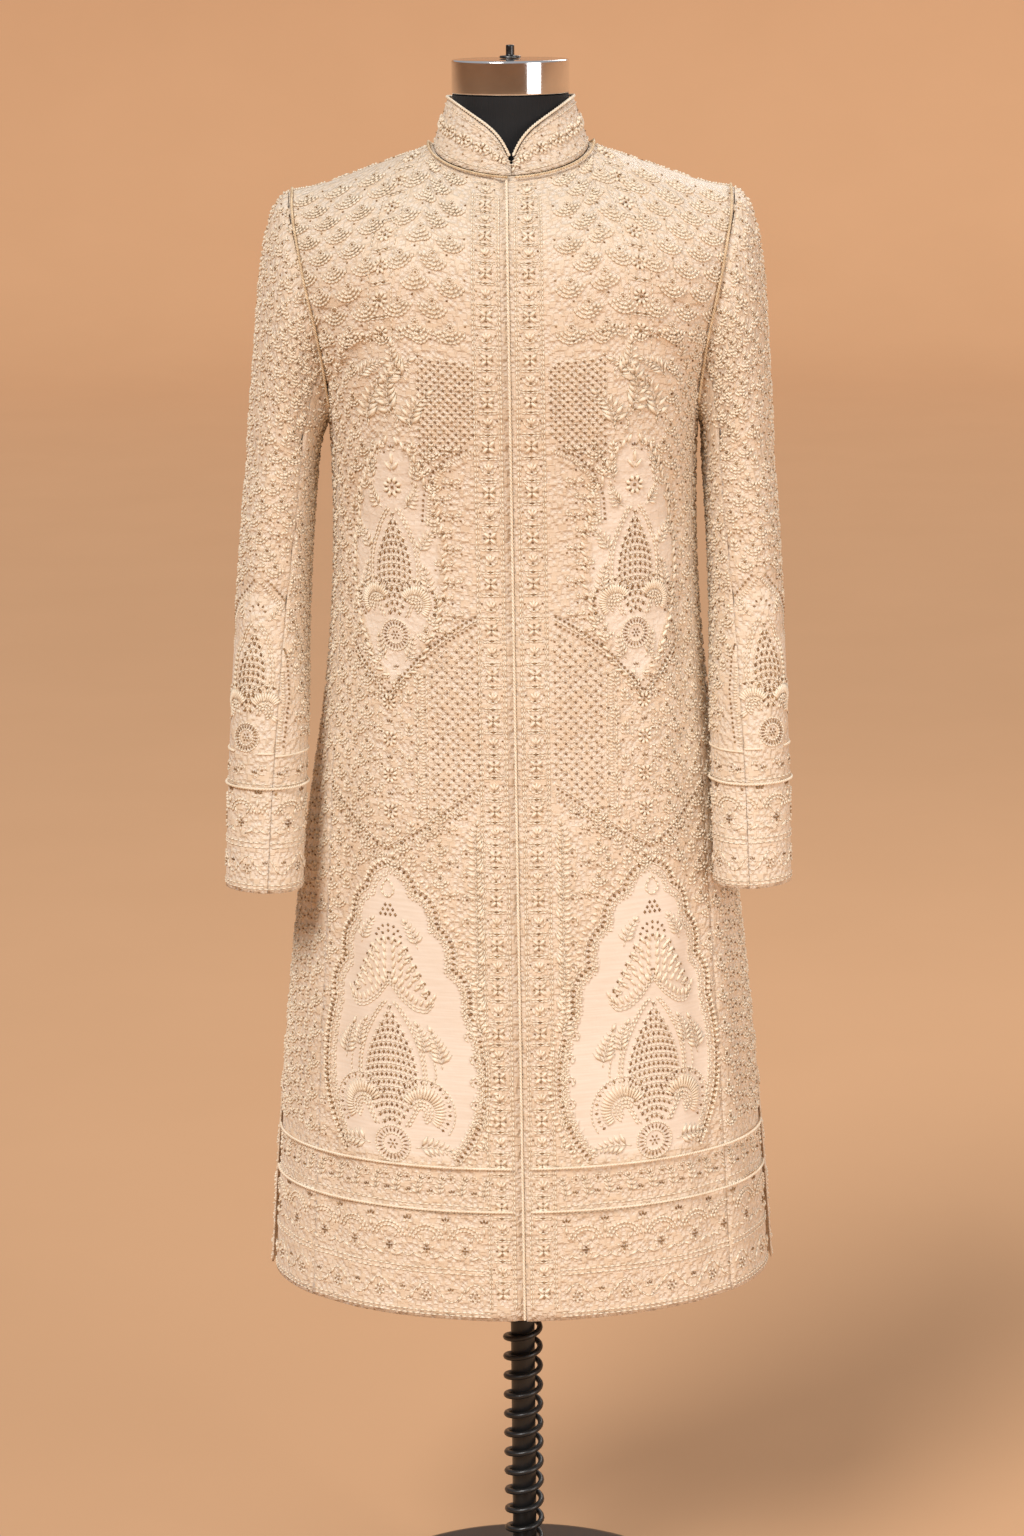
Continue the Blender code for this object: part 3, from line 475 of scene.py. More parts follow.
def depth(z, behind):
    return read_rows(BODY_SECTIONS, z, 3 if behind else 2)


def squareness(z):
    return read_rows(BODY_SECTIONS, z, 4)


def shoulder_z(x):
    return read_rows(SHOULDER_LINE, abs(x), 1)


SHOULDER_TIP_Z = shoulder_z(SHOULDER_TIP_X)


def body_y(x, z, behind):
    """The y of the front's or the back's surface at a place in the front view."""
    power = squareness(z)
    share = min(abs(x) / half_width(z, behind), 1.0)
    across = (1 - share**power) ** (1 / power)
    fall = min(max((shoulder_z(x) - z) / SHOULDER_ROUNDING, 0.0), 1.0)
    y = depth(z, behind) * across * math.sqrt(1 - (1 - fall) ** 2)
    return y if behind else -y


def ring_point(turn, z, behind=False):
    angle = math.radians(turn)
    power = 2 / squareness(z)
    x = half_width(z, behind) * rounded_power(math.sin(angle), power)
    y = depth(z, behind) * abs(math.cos(angle)) ** power
    return (x, y if behind else -y, z)


def turn_at(x, z):
    share = x / half_width(z)
    return math.degrees(math.asin(rounded_power(share, squareness(z) / 2)))


def turn_beside(turn, z, distance):
    here, there = Vector(ring_point(turn, z)), Vector(ring_point(turn - 0.2, z))
    return turn + distance / ((here - there).length / 0.2)


def opening_x(z):
    return mix(OPENING_HEM_X, OPENING_TOP_X, (z - HEM_Z) / (NECK_FRONT_Z - HEM_Z))


def right_edge_x(z):
    return -opening_x(z) - UNDERLAP


def middle_x(_):
    """The back's middle line, at every height."""
    return 0.0


def hem_z(turn):
    return HEM_Z + HEM_RISE * math.sin(math.radians(min(abs(turn), 90.0))) ** 2


def front_seam_x(z):
    return read_rows(FRONT_SEAM, z, 1) * half_width(z)


def armhole_x(z, behind):
    if behind:
        return read_rows(ARMHOLE, z, 2)
    climb = (z - SIDE_SEAM_TOP_Z) / (SHOULDER_TIP_Z - SIDE_SEAM_TOP_Z)
    step = front_seam_x(SIDE_SEAM_TOP_Z) - read_rows(ARMHOLE, SIDE_SEAM_TOP_Z, 1)
    return read_rows(ARMHOLE, z, 1) + step * max(1 - climb, 0.0) ** 2


def side_top_z(share):
    return ARMPIT_Z + (SIDE_SEAM_TOP_Z - ARMPIT_Z) * (1 - share) ** 2


def neck_z(x, behind):
    share = min(abs(x) / NECK_SIDE_X, 1.0)
    middle = NECK_BACK_Z if behind else NECK_FRONT_Z
    rise = shoulder_z(NECK_SIDE_X) - middle
    return middle + rise * (1 - math.sqrt(max(1 - share**NECK_ROUNDNESS, 0.0)))


def top_place(share, first_x, behind):
    """A point of a half panel's upper edge: round the neck first, then along the shoulder."""
    if share < NECK_SHARE:
        x = mix(first_x, NECK_SIDE_X, math.sin(share / NECK_SHARE * math.pi / 2))
        z = neck_z(x, behind)
        return (x, body_y(x, z, behind), z)
    x = mix(NECK_SIDE_X, SHOULDER_TIP_X, (share - NECK_SHARE) / (1 - NECK_SHARE))
    return (x, SEAM_GAP / 2 if behind else -SEAM_GAP / 2, shoulder_z(x))


def half_panel_points(behind, line, columns, lower_rows, upper_rows):
    """Rows of points of half the front or back, worked out for the wearer's left."""
    foot_z = ARMPIT_Z if behind else SIDE_SEAM_TOP_Z
    rows, feet = [], []
    for r in range(lower_rows + 1):
        share = r / lower_rows
        level = mix(HEM_Z, foot_z, share)
        edge = 90.0 if behind else turn_at(front_seam_x(level), level)
        first, last = turn_at(line(level), level), turn_beside(edge, level, -SEAM_GAP / 2)
        feet = []
        for c in range(columns + 1):
            turn = mix(first, last, c / columns)
            feet.append(ring_point(turn, mix(hem_z(turn), foot_z, share), behind))
        rows.append(feet)
    tops = [top_place(c / columns, line(NECK_FRONT_Z), behind) for c in range(columns + 1)]
    for r in range(1, upper_rows + 1):
        climb = 1 - (1 - r / upper_rows) ** 2
        swing = armhole_x(mix(foot_z, SHOULDER_TIP_Z, climb), behind)
        swing -= mix(feet[-1][0], tops[-1][0], climb)
        row = []
        for c, (foot, top) in enumerate(zip(feet, tops)):
            x = mix(foot[0], top[0], climb) + swing * (c / columns) ** 3
            z = mix(foot[2], top[2], climb)
            row.append(top if r == upper_rows else (x, body_y(x, z, behind), z))
        rows.append(row)
    return np.array(rows)


# ---------------------------------------------------------------- cloth panels
class Panel:
    """A cloth panel as a fine net of points, evenly spread along each of its rows."""

    def __init__(self, name, points, foot=HEM_Z, zero=None, start=0.0, rule=0.5):
        """zero is the share of the columns where s is 0, or start is its distance from the edge.

        foot is the flat height of the lower edge, and h is measured up the column at the rule's share.
        """
        steps = np.linalg.norm(np.diff(points, axis=1), axis=2)
        lengths = np.concatenate([np.zeros((len(points), 1)), np.cumsum(steps, axis=1)], axis=1)
        columns = points.shape[1]
        self.start = np.full(len(points), start)
        if zero is not None:
            column = zero * (columns - 1)
            self.start = np.array([np.interp(column, np.arange(columns), row) for row in lengths])
        self.points = np.empty_like(points)
        for r, (row, length) in enumerate(zip(points, lengths)):
            even = np.linspace(0.0, length[-1], columns)
            for axis in range(3):
                self.points[r, :, axis] = np.interp(even, length, row[:, axis])
        self.name = name
        self.cover = lambda s, h: 1.0
        self.width = lengths[:, -1]
        rises = np.linalg.norm(np.diff(points[:, round(rule * (columns - 1))], axis=0), axis=1)
        self.h = foot + np.concatenate([[0.0], np.cumsum(rises)])
        self.outside = 1.0
        centre = self.points.mean(axis=(0, 1)) * (0.0, 0.0, 1.0)
        if name.endswith("sleeve"):
            centre = np.array([np.sign(self.points[:, :, 0].mean()) * 0.222, -0.035, 1.0])
        self.face()
        away = self.points - centre
        away[:, :, 2] = 0.0
        if (self.normals * away).sum() < 0:
            self.outside = -1.0
            self.face()

    def face(self):
        """Works out the outward directions again after the points have moved."""
        self.up = unit(np.gradient(self.points, axis=0))
        self.normals = unit(np.cross(unit(np.gradient(self.points, axis=1)), self.up)) * self.outside

    def flat(self):
        """s and h of every point of the net."""
        columns = self.points.shape[1]
        share = np.linspace(0.0, 1.0, columns)[None, :]
        s = share * self.width[:, None] - self.start[:, None]
        return s, np.repeat(self.h[:, None], columns, axis=1)

    def press(self, folds):
        """Soft troughs: each row gives both ends in s and h, half the width and the depth."""
        s, h = self.flat()
        drop = np.zeros_like(s)
        for s1, h1, s2, h2, wide, deep in folds:
            ds, dh = s2 - s1, h2 - h1
            along = ((s - s1) * ds + (h - h1) * dh) / (ds * ds + dh * dh)
            near = np.clip(along, 0.0, 1.0)
            gap = np.hypot(s - s1 - near * ds, h - h1 - near * dh)
            drop += deep * np.exp(-((gap / wide) ** 2)) * (0.35 + 0.65 * np.sin(math.pi * near) ** 0.7)
        self.points = self.points - self.normals * drop[:, :, None]
        self.face()

    def find(self, s, h):
        """Places, directions and whether they are on the panel, for arrays of s and h."""
        rows, columns = self.points.shape[:2]
        row = np.clip(np.interp(h, self.h, np.arange(rows)), 0, rows - 1.0001)
        r = row.astype(int)
        fr = row - r
        width = self.width[r] * (1 - fr) + self.width[r + 1] * fr
        start = self.start[r] * (1 - fr) + self.start[r + 1] * fr
        share = (s + start) / width
        column = np.clip(share, 0.0, 0.99999) * (columns - 1)
        c = column.astype(int)
        fc = column - c
        inside = (share >= 0) & (share <= 1) & (h >= self.h[0]) & (h <= self.h[-1])

        def read(net):
            low = net[r, c] * (1 - fc)[:, None] + net[r, c + 1] * fc[:, None]
            high = net[r + 1, c] * (1 - fc)[:, None] + net[r + 1, c + 1] * fc[:, None]
            return low * (1 - fr)[:, None] + high * fr[:, None]

        normal = unit(read(self.normals))
        up = read(self.up)
        up = unit(up - normal * (up * normal).sum(axis=1)[:, None])
        across = np.cross(up, normal) * self.outside
        room = np.minimum(share, 1 - share) * width
        return read(self.points), across, up, normal, inside, room

    def build(self, rests_on, with_pieces):
        """The cloth itself: a grid laid on the net, given its thickness inwards."""
        rows, columns = self.points.shape[:2]
        cloth = bmesh.new()
        bmesh.ops.create_grid(cloth, x_segments=columns - 1, y_segments=rows - 1, size=0.5)
        layer = cloth.loops.layers.uv.new("flat")
        s, h = self.flat()
        where = {}
        for vert in cloth.verts:
            c, r = round((vert.co.x + 0.5) * (columns - 1)), round((vert.co.y + 0.5) * (rows - 1))
            where[vert.index] = (r, c)
            vert.co = Vector(self.points[r, c])
        for polygon in cloth.faces:
            for loop in polygon.loops:
                r, c = where[loop.vert.index]
                loop[layer].uv = (s[r, c], h[r, c])
        if self.outside < 0:
            bmesh.ops.reverse_faces(cloth, faces=cloth.faces)
        mesh = mesh_from(self.name + "_cloth", cloth)
        worked = mesh.attributes.new("worked", "FLOAT", "POINT")
        cover = [self.cover(s[where[k]], h[where[k]]) for k in range(len(mesh.vertices))]
        worked.data.foreach_set("value", cover)
        piece = finish_piece(self.name + "_cloth", mesh, "ivory_cloth", [self.name])
        wall = piece.modifiers.new("wall", "SOLIDIFY")
        wall.thickness = CLOTH
        wall.offset = -1.0


def mirrored(points):
    return points * (-1.0, 1.0, 1.0)


def for_side(points, side):
    return points if side > 0 else mirrored(points)


# ---------------------------------------------------------------- needlework
def small_shape(kind):
    """The closed shapes that every stitch and bead is a scaled copy of, one long, wide and high."""
    made = bmesh.new()
    if kind == "petal":
        bmesh.ops.create_icosphere(made, subdivisions=1, radius=0.5)
    else:
        bmesh.ops.create_uvsphere(made, u_segments=4, v_segments=2, radius=0.5)
    bmesh.ops.triangulate(made, faces=made.faces)
    points = np.array([vert.co[:] for vert in made.verts])
    faces = np.array([[vert.index for vert in polygon.verts] for polygon in made.faces])
    made.free()
    return points, faces


SHAPES = {kind: small_shape(kind) for kind in ("petal", "stitch")}


def mesh_of(name, points, triangles):
    mesh = bpy.data.meshes.new(name)
    mesh.vertices.add(len(points))
    mesh.vertices.foreach_set("co", points.astype(np.float32).ravel())
    mesh.loops.add(triangles.size)
    mesh.loops.foreach_set("vertex_index", triangles.astype(np.int32).ravel())
    mesh.polygons.add(len(triangles))
    mesh.polygons.foreach_set("loop_start", np.arange(0, triangles.size, 3, dtype=np.int32))
    mesh.update(calc_edges=True)
    return mesh


# Stitches nearer than this to a panel's edge are left off.
EDGE_MARGIN = 0.001


def measured(points):
    """A path as an array, and how far along it each of its points lies."""
    path = np.array(points)
    steps = np.hypot(*np.diff(path, axis=0).T)
    return path, np.concatenate([[0.0], np.cumsum(steps)])


class Needlework:
    """Stitches and beads gathered for one panel. Angles are in degrees, 0 across and 90 up."""

    def __init__(self, flip=1.0):
        self.rows = {"thread": [], "bead": []}
        self.flip = flip

    def add(self, kind, shape, s, h, angle, length, width, height):
        if self.flip < 0:
            angle = 180.0 - angle
        self.rows[kind].append((shape == "petal", s * self.flip, h, angle, length, width, height))

    def petal(self, s, h, angle, length, width, fine=False):
        """A raised satin-stitched petal, named by its middle."""
        height = 1.25 * min(width, 0.0028)
        self.add("thread", "stitch" if fine else "petal", s, h, angle, length, 1.15 * width, height)

    def leaf(self, s, h, angle, length, width, fine=True):
        """A petal that grows from a point."""
        self.petal(*aside(s, h, angle, length / 2), angle, length, width, fine)

    def bead(self, s, h, size=0.0024):
        self.add("bead", "stitch", s, h, 45.0, size * 1.12, size * 1.12, size)

    def dash(self, s, h, angle, length=0.0034, width=0.0019):
        """A cut sequin, or an eyelet's dark slot."""
        self.add("bead", "stitch", s, h, angle, length, width * 1.1, 0.0016)

    def line(self, points, width=0.0014, stitch=0.0046):
        """A row of stem stitches along a path."""
        path, along = measured(points)
        count = max(int(round(along[-1] / stitch)), 1)
        middles = (np.arange(count) + 0.5) / count * along[-1]
        reach = along[-1] / count / 2
        before = [np.interp(np.clip(middles - reach, 0, None), along, path[:, k]) for k in (0, 1)]
        after = [np.interp(middles + reach, along, path[:, k]) for k in (0, 1)]
        for s1, h1, s2, h2 in zip(before[0], before[1], after[0], after[1]):
            angle = math.degrees(math.atan2(h2 - h1, s2 - s1))
            middle = ((s1 + s2) / 2, (h1 + h2) / 2)
            self.add("thread", "stitch", *middle, angle, 2.7 * reach, 1.3 * width, 1.5 * width)

    def rope(self, points, width=0.0028):
        """A twisted cord sewn down: slanting strands that overlap."""
        path, along = measured(points)
        count = max(int(along[-1] / (width * 0.62)), 2)
        at = (np.arange(count) + 0.5) / count * along[-1]
        s, h = (np.interp(at, along, path[:, k]) for k in (0, 1))
        ds, dh = np.gradient(s), np.gradient(h)
        for k in range(count):
            angle = math.degrees(math.atan2(dh[k], ds[k])) + 32.0
            self.add("thread", "petal", s[k], h[k], angle, 1.9 * width, 0.95 * width, 1.15 * width)

    def arc(self, s, h, radius, first, last, width=0.0014, stitch=0.0046):
        count = max(int(abs(last - first) / 18), 3)
        angles = np.radians(np.linspace(first, last, count + 1))
        bow = np.stack([s + radius * np.cos(angles), h + radius * np.sin(angles)], 1)
        self.line(bow, width, stitch)

    def ladder(self, points, width, pitch=0.0026, thick=0.0013):
        """Short bars side by side across a path."""
        for s, h, angle in walk(points, pitch):
            self.petal(s, h, angle + 90.0, width, thick, True)

    def dots(self, points, pitch=0.0044, size=0.0022):
        for s, h, _ in walk(points, pitch):
            self.bead(s, h, size)

    def lay(self, panel, kind, slot):
        """Lays the gathered stitches on a panel as one joined mesh."""
        data = np.array(self.rows[kind], float)
        place, across, up, normal, inside, room = panel.find(data[:, 1], data[:, 2])
        keep = inside & (room > EDGE_MARGIN)
        data, place, across, up, normal = data[keep], place[keep], across[keep], up[keep], normal[keep]
        angle = np.radians(data[:, 3])[:, None]
        ahead = across * np.cos(angle) + up * np.sin(angle)
        beside = np.cross(normal, ahead)
        points, triangles, count = [], [], 0
        for name, chosen in (("petal", data[:, 0] > 0.5), ("stitch", data[:, 0] < 0.5)):
            shape, faces = SHAPES[name]
            number = int(chosen.sum())
            if number == 0:
                continue
            centre = place[chosen] + normal[chosen] * (data[chosen, 6] * 0.22)[:, None]
            reach = ahead[chosen] * data[chosen, 4][:, None]
            broad = beside[chosen] * data[chosen, 5][:, None]
            high = normal[chosen] * data[chosen, 6][:, None]
            made = centre[:, None] + reach[:, None] * shape[None, :, :1]
            made = made + broad[:, None] * shape[None, :, 1:2] + high[:, None] * shape[None, :, 2:3]
            starts = count + np.arange(number)[:, None, None] * len(shape)
            points.append(made.reshape(-1, 3))
            triangles.append((faces[None] + starts).reshape(-1, 3))
            count += number * len(shape)
        name = f"{panel.name}_{kind}_work"
        mesh = mesh_of(name, np.concatenate(points), np.concatenate(triangles))
        return finish_piece(name, mesh, slot)

    def lay_all(self, panel):
        return [self.lay(panel, "thread", "cream_thread"), self.lay(panel, "bead", "antique_gold_bead")]

    def shifted(self, distance):
        """The same needlework, further along the cloth."""
        made = Needlework()
        for kind, rows in self.rows.items():
            made.rows[kind] = [(row[0], row[1] + distance, *row[2:]) for row in rows]
        return made


def aside(s, h, angle, distance):
    """The place at a distance from another, in a direction in degrees."""
    a = math.radians(angle)
    return s + distance * math.cos(a), h + distance * math.sin(a)


def moved(points, across, up):
    return [(s + across, h + up) for s, h in points]


def walk(points, pitch):
    """Evenly spaced places along a path, each with the path's angle there."""
    path, along = measured(points)
    count = max(int(round(along[-1] / pitch)), 1)
    for k in range(count):
        at = (k + 0.5) / count * along[-1]
        s, s1, s2 = np.interp([at, at - 0.001, at + 0.001], along, path[:, 0])
        h, h1, h2 = np.interp([at, at - 0.001, at + 0.001], along, path[:, 1])
        yield s, h, math.degrees(math.atan2(h2 - h1, s2 - s1))


# ---------------------------------------------------------------- motifs
def rosette(work, s, h, r, petals=8):
    """A round flower: gold slots between satin petals round a bead."""
    for k in range(petals):
        angle = 360.0 * (k + 0.5) / petals
        work.petal(*aside(s, h, angle, 0.66 * r), angle, 0.62 * r, 0.34 * r, r < 0.007)
        angle = 360.0 * k / petals
        work.dash(*aside(s, h, angle, 0.62 * r), angle, 0.36 * r, 0.17 * r)
    work.bead(s, h, 0.34 * r)


def sprig(work, s, h, angle, size):
    """Three gold drops fanned over two small leaves."""
    for turn in (angle - 38.0, angle, angle + 38.0):
        work.dash(*aside(s, h, turn, 0.55 * size), turn, 0.6 * size, 0.28 * size)
    for turn in (angle - 100.0, angle + 100.0):
        work.leaf(s, h, turn, 0.8 * size, 0.26 * size)


def bloom(work, s, h, size):
    """A pointed flower head: five gold beads inside a ring of pale petals."""
    for ds, dh in ((0, 0), (-0.42, 0.05), (0.42, 0.05), (0, 0.5), (0, -0.45)):
        work.bead(s + ds * size, h + dh * size, 0.42 * size)
    for angle in (20.0, 70.0, 110.0, 160.0, 215.0, 270.0, 325.0):
        work.petal(*aside(s, h, angle, 1.05 * size), angle, 0.75 * size, 0.36 * size, True)


def scallop(work, s, h, width):
    """Hanging half rounds inside each other, with a ringed bead where they open."""
    for share in (1.0, 0.73, 0.46):
        work.arc(s, h, width / 2 * share, 195.0, 345.0, 0.0023, 0.0044)
    work.arc(s, h + 0.001, width * 0.12, 0.0, 360.0, 0.0013, 0.0024)
    work.bead(s, h + 0.001, 0.0022)


def feather(work, s, h, angle, length, bend=25.0, leaves=5):
    """A curved stem with leaflets on both sides."""
    stem = [(s, h)]
    for k in range(leaves):
        angle += bend / leaves
        s, h = aside(s, h, angle, length / leaves)
        stem.append((s, h))
        size = length * (0.42 - 0.05 * k)
        for side in (-1, 1):
            work.leaf(s, h, angle + side * 52.0, size, size * 0.27)
    work.line(stem, 0.0012)
    work.leaf(s, h, angle, length * 0.28, length * 0.1)


def sunburst(work, s, h, r):
    """A ring of gold rays round a small flower."""
    for rays, distance, length, width in ((22, 0.84, 0.34, 0.0017), (6, 0.25, 0.22, 0.0018)):
        for k in range(rays):
            angle = 360.0 * k / rays
            work.dash(*aside(s, h, angle, distance * r), angle, length * r, width)
    for share in (0.62, 1.1):
        work.arc(s, h, share * r, 0, 360, 0.0016, 0.003)
    work.bead(s, h, 0.16 * r)


def drop_half(share, half):
    """Half the width of a drop at a share of its height: widest two fifths of the way up."""
    if share < 0.42:
        return half * math.sin(math.pi / 2 * mix(0.24, 1.0, share / 0.42))
    return half * max(math.cos((share - 0.42) / 0.58 * math.pi / 2), 0.0) ** 0.85


def teardrop(work, s, foot, top, half, pitch=0.0074):
    """Scales of cut eyelets between pale stitches, which fill a drop."""
    rows = int((top - foot) / pitch)
    for r in range(rows + 1):
        reach = drop_half(r / rows, half)
        count = max(int(round(2 * reach / 0.0052)), 1)
        for k in range(count):
            at = (k + 0.5) / count * 2 - 1
            h = mix(foot, top, r / rows) + 0.006 * (1 - at * at)
            work.dash(s + reach * at, h, 90.0 + 24.0 * at, 0.0046, 0.0027)
            work.petal(s + reach * at + 0.0026, h, 90.0, 0.0056, 0.0013, True)
        level = mix(foot, top, r / rows) + pitch * 0.5
        across = [(s + reach * at, level + 0.006 * (1 - at * at)) for at in (-1.0, -0.5, 0.0, 0.5, 1.0)]
        work.line(across, 0.0013)
    for side in (-1, 1):
        for gap, wide in ((0.0030, 0.0018), (0.0062, 0.0014)):
            edge = []
            for k in range(25):
                reach = 1.08 * drop_half(k / 24, half) + gap
                edge.append((s + side * reach, mix(foot, top + 0.012, k / 24)))
            work.line(edge, wide)


def wing(work, s, h, side, size):
    """A fan of long stitches with a beaded edge, curling up beside a drop."""
    rays = 21
    for k in range(rays):
        angle = 90.0 - side * mix(-52.0, 128.0, k / (rays - 1))
        near, far = 0.40 * size, size * mix(0.92, 0.78, abs(k / (rays - 1) - 0.45) * 2)
        work.petal(*aside(s, h, angle, (near + far) / 2), angle, far - near, 0.0022)
        edge = aside(s, h, angle, far + 0.0030)
        if k % 2 == 0:
            work.dash(*edge, angle, 0.0040, 0.0027)
        else:
            work.petal(*edge, angle, 0.0050, 0.0016, True)
    for r in (0.36, 0.25, 0.14):
        work.arc(s, h, r * size, 90.0 + side * 70.0, 90.0 - side * 160.0, 0.0019, 0.0036)
    work.arc(s, h, 1.10 * size, 90.0 + side * 40.0, 90.0 - side * 128.0, 0.0014, 0.0040)


def crown(work, s, foot, top, half):
    """Tiers of curled leaflets that narrow to a cluster of beads, between two beaded curls."""
    bends = ((0.0, 0.022), (0.30, 0.006), (0.62, -0.004), (0.92, -0.006), (1.10, 0.004))
    for side in (-1, 1):
        curl = [(s + side * share * half, foot + lift) for share, lift in bends]
        for drop in (0.0, 0.0034):
            work.line(moved(curl, 0.0, -drop), 0.0015)
        for cs, ch, _ in walk(curl, 0.0058):
            work.leaf(cs, ch + 0.002, 90.0 - side * 26.0, 0.0085, 0.0026, False)
            work.dash(cs - side * 0.003, ch + 0.0085, 90.0 - side * 30.0, 0.0032, 0.0024)
        for tier in range(6):
            q = (tier + 0.5) / 6
            reach = half * (0.92 - 0.62 * q)
            h = mix(foot + 0.012, top - 0.006, q)
            count = 5 - tier // 2
            for k in range(count):
                at = (k + 0.5) / count
                lean = 90.0 - side * (14.0 + 50.0 * at)
                work.leaf(s + side * reach * at, h - 0.008 * at * at, lean, 0.0100, 0.0027, False)
            work.bead(s + side * (reach + 0.005), h - 0.004, 0.0026)
            work.arc(s + side * reach, h - 0.005, 0.0042, 90.0, 90.0 - side * 250.0, 0.0015)
    for r, count in ((0.0130, 9), (0.0075, 5)):
        for k in range(count):
            angle = mix(-14.0, 194.0, k / (count - 1))
            work.dash(*aside(s, top - 0.004, angle, r), angle, 0.0038, 0.0026)
    work.bead(s, top - 0.004, 0.0032)
    for row in range(3):
        for k in range(4 - row):
            across = (k - (3 - row) / 2) * 0.0052
            work.dash(s + across, top + 0.0195 + 0.0046 * row, 90.0, 0.0040, 0.0030)


def band_motif(work, s, h, pitch):
    """One repeat of the upright border beside the opening."""
    for angle in (45.0, 135.0, 225.0, 315.0):
        work.leaf(s, h, angle, 0.0085, 0.0028, False)
    for ds, dh in ((0, 0), (-0.0052, 0), (0.0052, 0), (0, 0.0046), (0, -0.0046)):
        work.bead(s + ds, h + dh, 0.0021)
    for bar in (h + 0.26 * pitch, h + 0.76 * pitch):
        for lift in (-0.0012, 0.0012):
            work.line([(s - 0.0085, bar + lift), (s + 0.0085, bar + lift)], 0.0013, 0.0042)
        work.dash(s, bar, 0.0, 0.005, 0.0022)
    cup = h + 0.5 * pitch
    work.arc(s, cup + 0.002, 0.0066, 190.0, 350.0, 0.0016, 0.0036)
    for angle in (55.0, 90.0, 125.0):
        work.leaf(s, cup - 0.001, angle, 0.0078, 0.0024, False)
    work.bead(s, cup - 0.0025, 0.0024)
    for side in (-1, 1):
        work.bead(s + side * 0.0085, cup + 0.003, 0.0019)
        work.leaf(s + side * 0.004, h + 0.13 * pitch, 90.0 - side * 35.0, 0.0055, 0.0018)


def border_band(work, s, foot, top, pitch=0.0435, half=0.0125):
    """The upright border: its motifs between a thick and a thin line on each side."""
    for side in (-1, 1):
        for edge, width in ((half, 0.0015), (half - 0.0022, 0.0010)):
            work.line([(s + side * edge, foot), (s + side * edge, top)], width, 0.005)
    h = foot + 0.016
    while h < top:
        band_motif(work, s, h, pitch)
        h += pitch


def evenly(first, last, pitch):
    """The starts of repeats of about a pitch that fill a width, and their true pitch."""
    count = max(int(round((last - first) / pitch)), 1)
    pitch = (last - first) / count
    return [first + k * pitch for k in range(count)], pitch


def flower_row(work, first, last, foot, pitch=0.036):
    """Arches with a bloom in each, and a sprig where they meet, as on the hem and cuffs."""
    edges, pitch = evenly(first, last, pitch)
    for edge in edges:
        s = edge + 0.5 * pitch
        for r in (0.46, 0.36):
            work.arc(s, foot + 0.021, pitch * r, 12.0, 168.0, 0.0021, 0.004)
        bloom(work, s, foot + 0.014, 0.0058)
        for side in (-1, 1):
            work.leaf(s + side * 0.004, foot + 0.004, 90.0 - side * 66.0, 0.012, 0.0026)
            work.leaf(s + side * 0.005, foot + 0.022, 90.0 - side * 30.0, 0.008, 0.0022)
        sprig(work, edge, foot + 0.041, 90.0, 0.0078)
        work.leaf(edge, foot + 0.030, 90.0, 0.009, 0.003)
        work.arc(edge, foot + 0.012, 0.0065, 200.0, 340.0, 0.0013)


def vine_row(work, first, last, foot, high, pitch=0.044):
    """A waving stem with a rosette in each bow."""
    edges, pitch = evenly(first, last, pitch)
    middle, sway = foot + high / 2, high * 0.30
    turns = [k / 12 for k in range(len(edges) * 12 + 1)]
    work.line([(first + at * pitch, middle + sway * math.sin(math.tau * at)) for at in turns], 0.0014)
    for s in edges:
        rosette(work, s + 0.25 * pitch, middle - 0.10 * high, 0.2 * high, 6)
        sprig(work, s + 0.75 * pitch, middle + 0.02 * high, 90.0, 0.17 * high)
        for at, turn in ((0.02, 60.0), (0.5, -60.0), (0.45, 120.0), (0.95, -120.0)):
            work.leaf(s + at * pitch, middle, turn, 0.3 * high, 0.07 * high)


def double_line(work, first, last, h, gap=0.0046, width=0.0015):
    for lift in (0.0, gap):
        work.line([(first, h + lift), (last, h + lift)], width, 0.006)


def lattice(work, first, last, foot, top, pitch, allowed):
    """Crossed diagonal threads with a bead in every diamond, where they are allowed."""
    rows = int((top - foot) / (pitch / 2))
    for r in range(rows):
        h = foot + (r + 0.5) * pitch / 2
        s = first + (pitch / 2 if r % 2 else 0.0)
        while s < last:
            if allowed(s, h):
                work.bead(s, h, 0.0023)
                for angle in (45.0, 135.0):
                    place = aside(s, h + pitch * 0.02, angle, pitch * 0.25)
                    work.petal(*place, angle + 90.0, pitch * 0.42, 0.0012, True)
            s += pitch


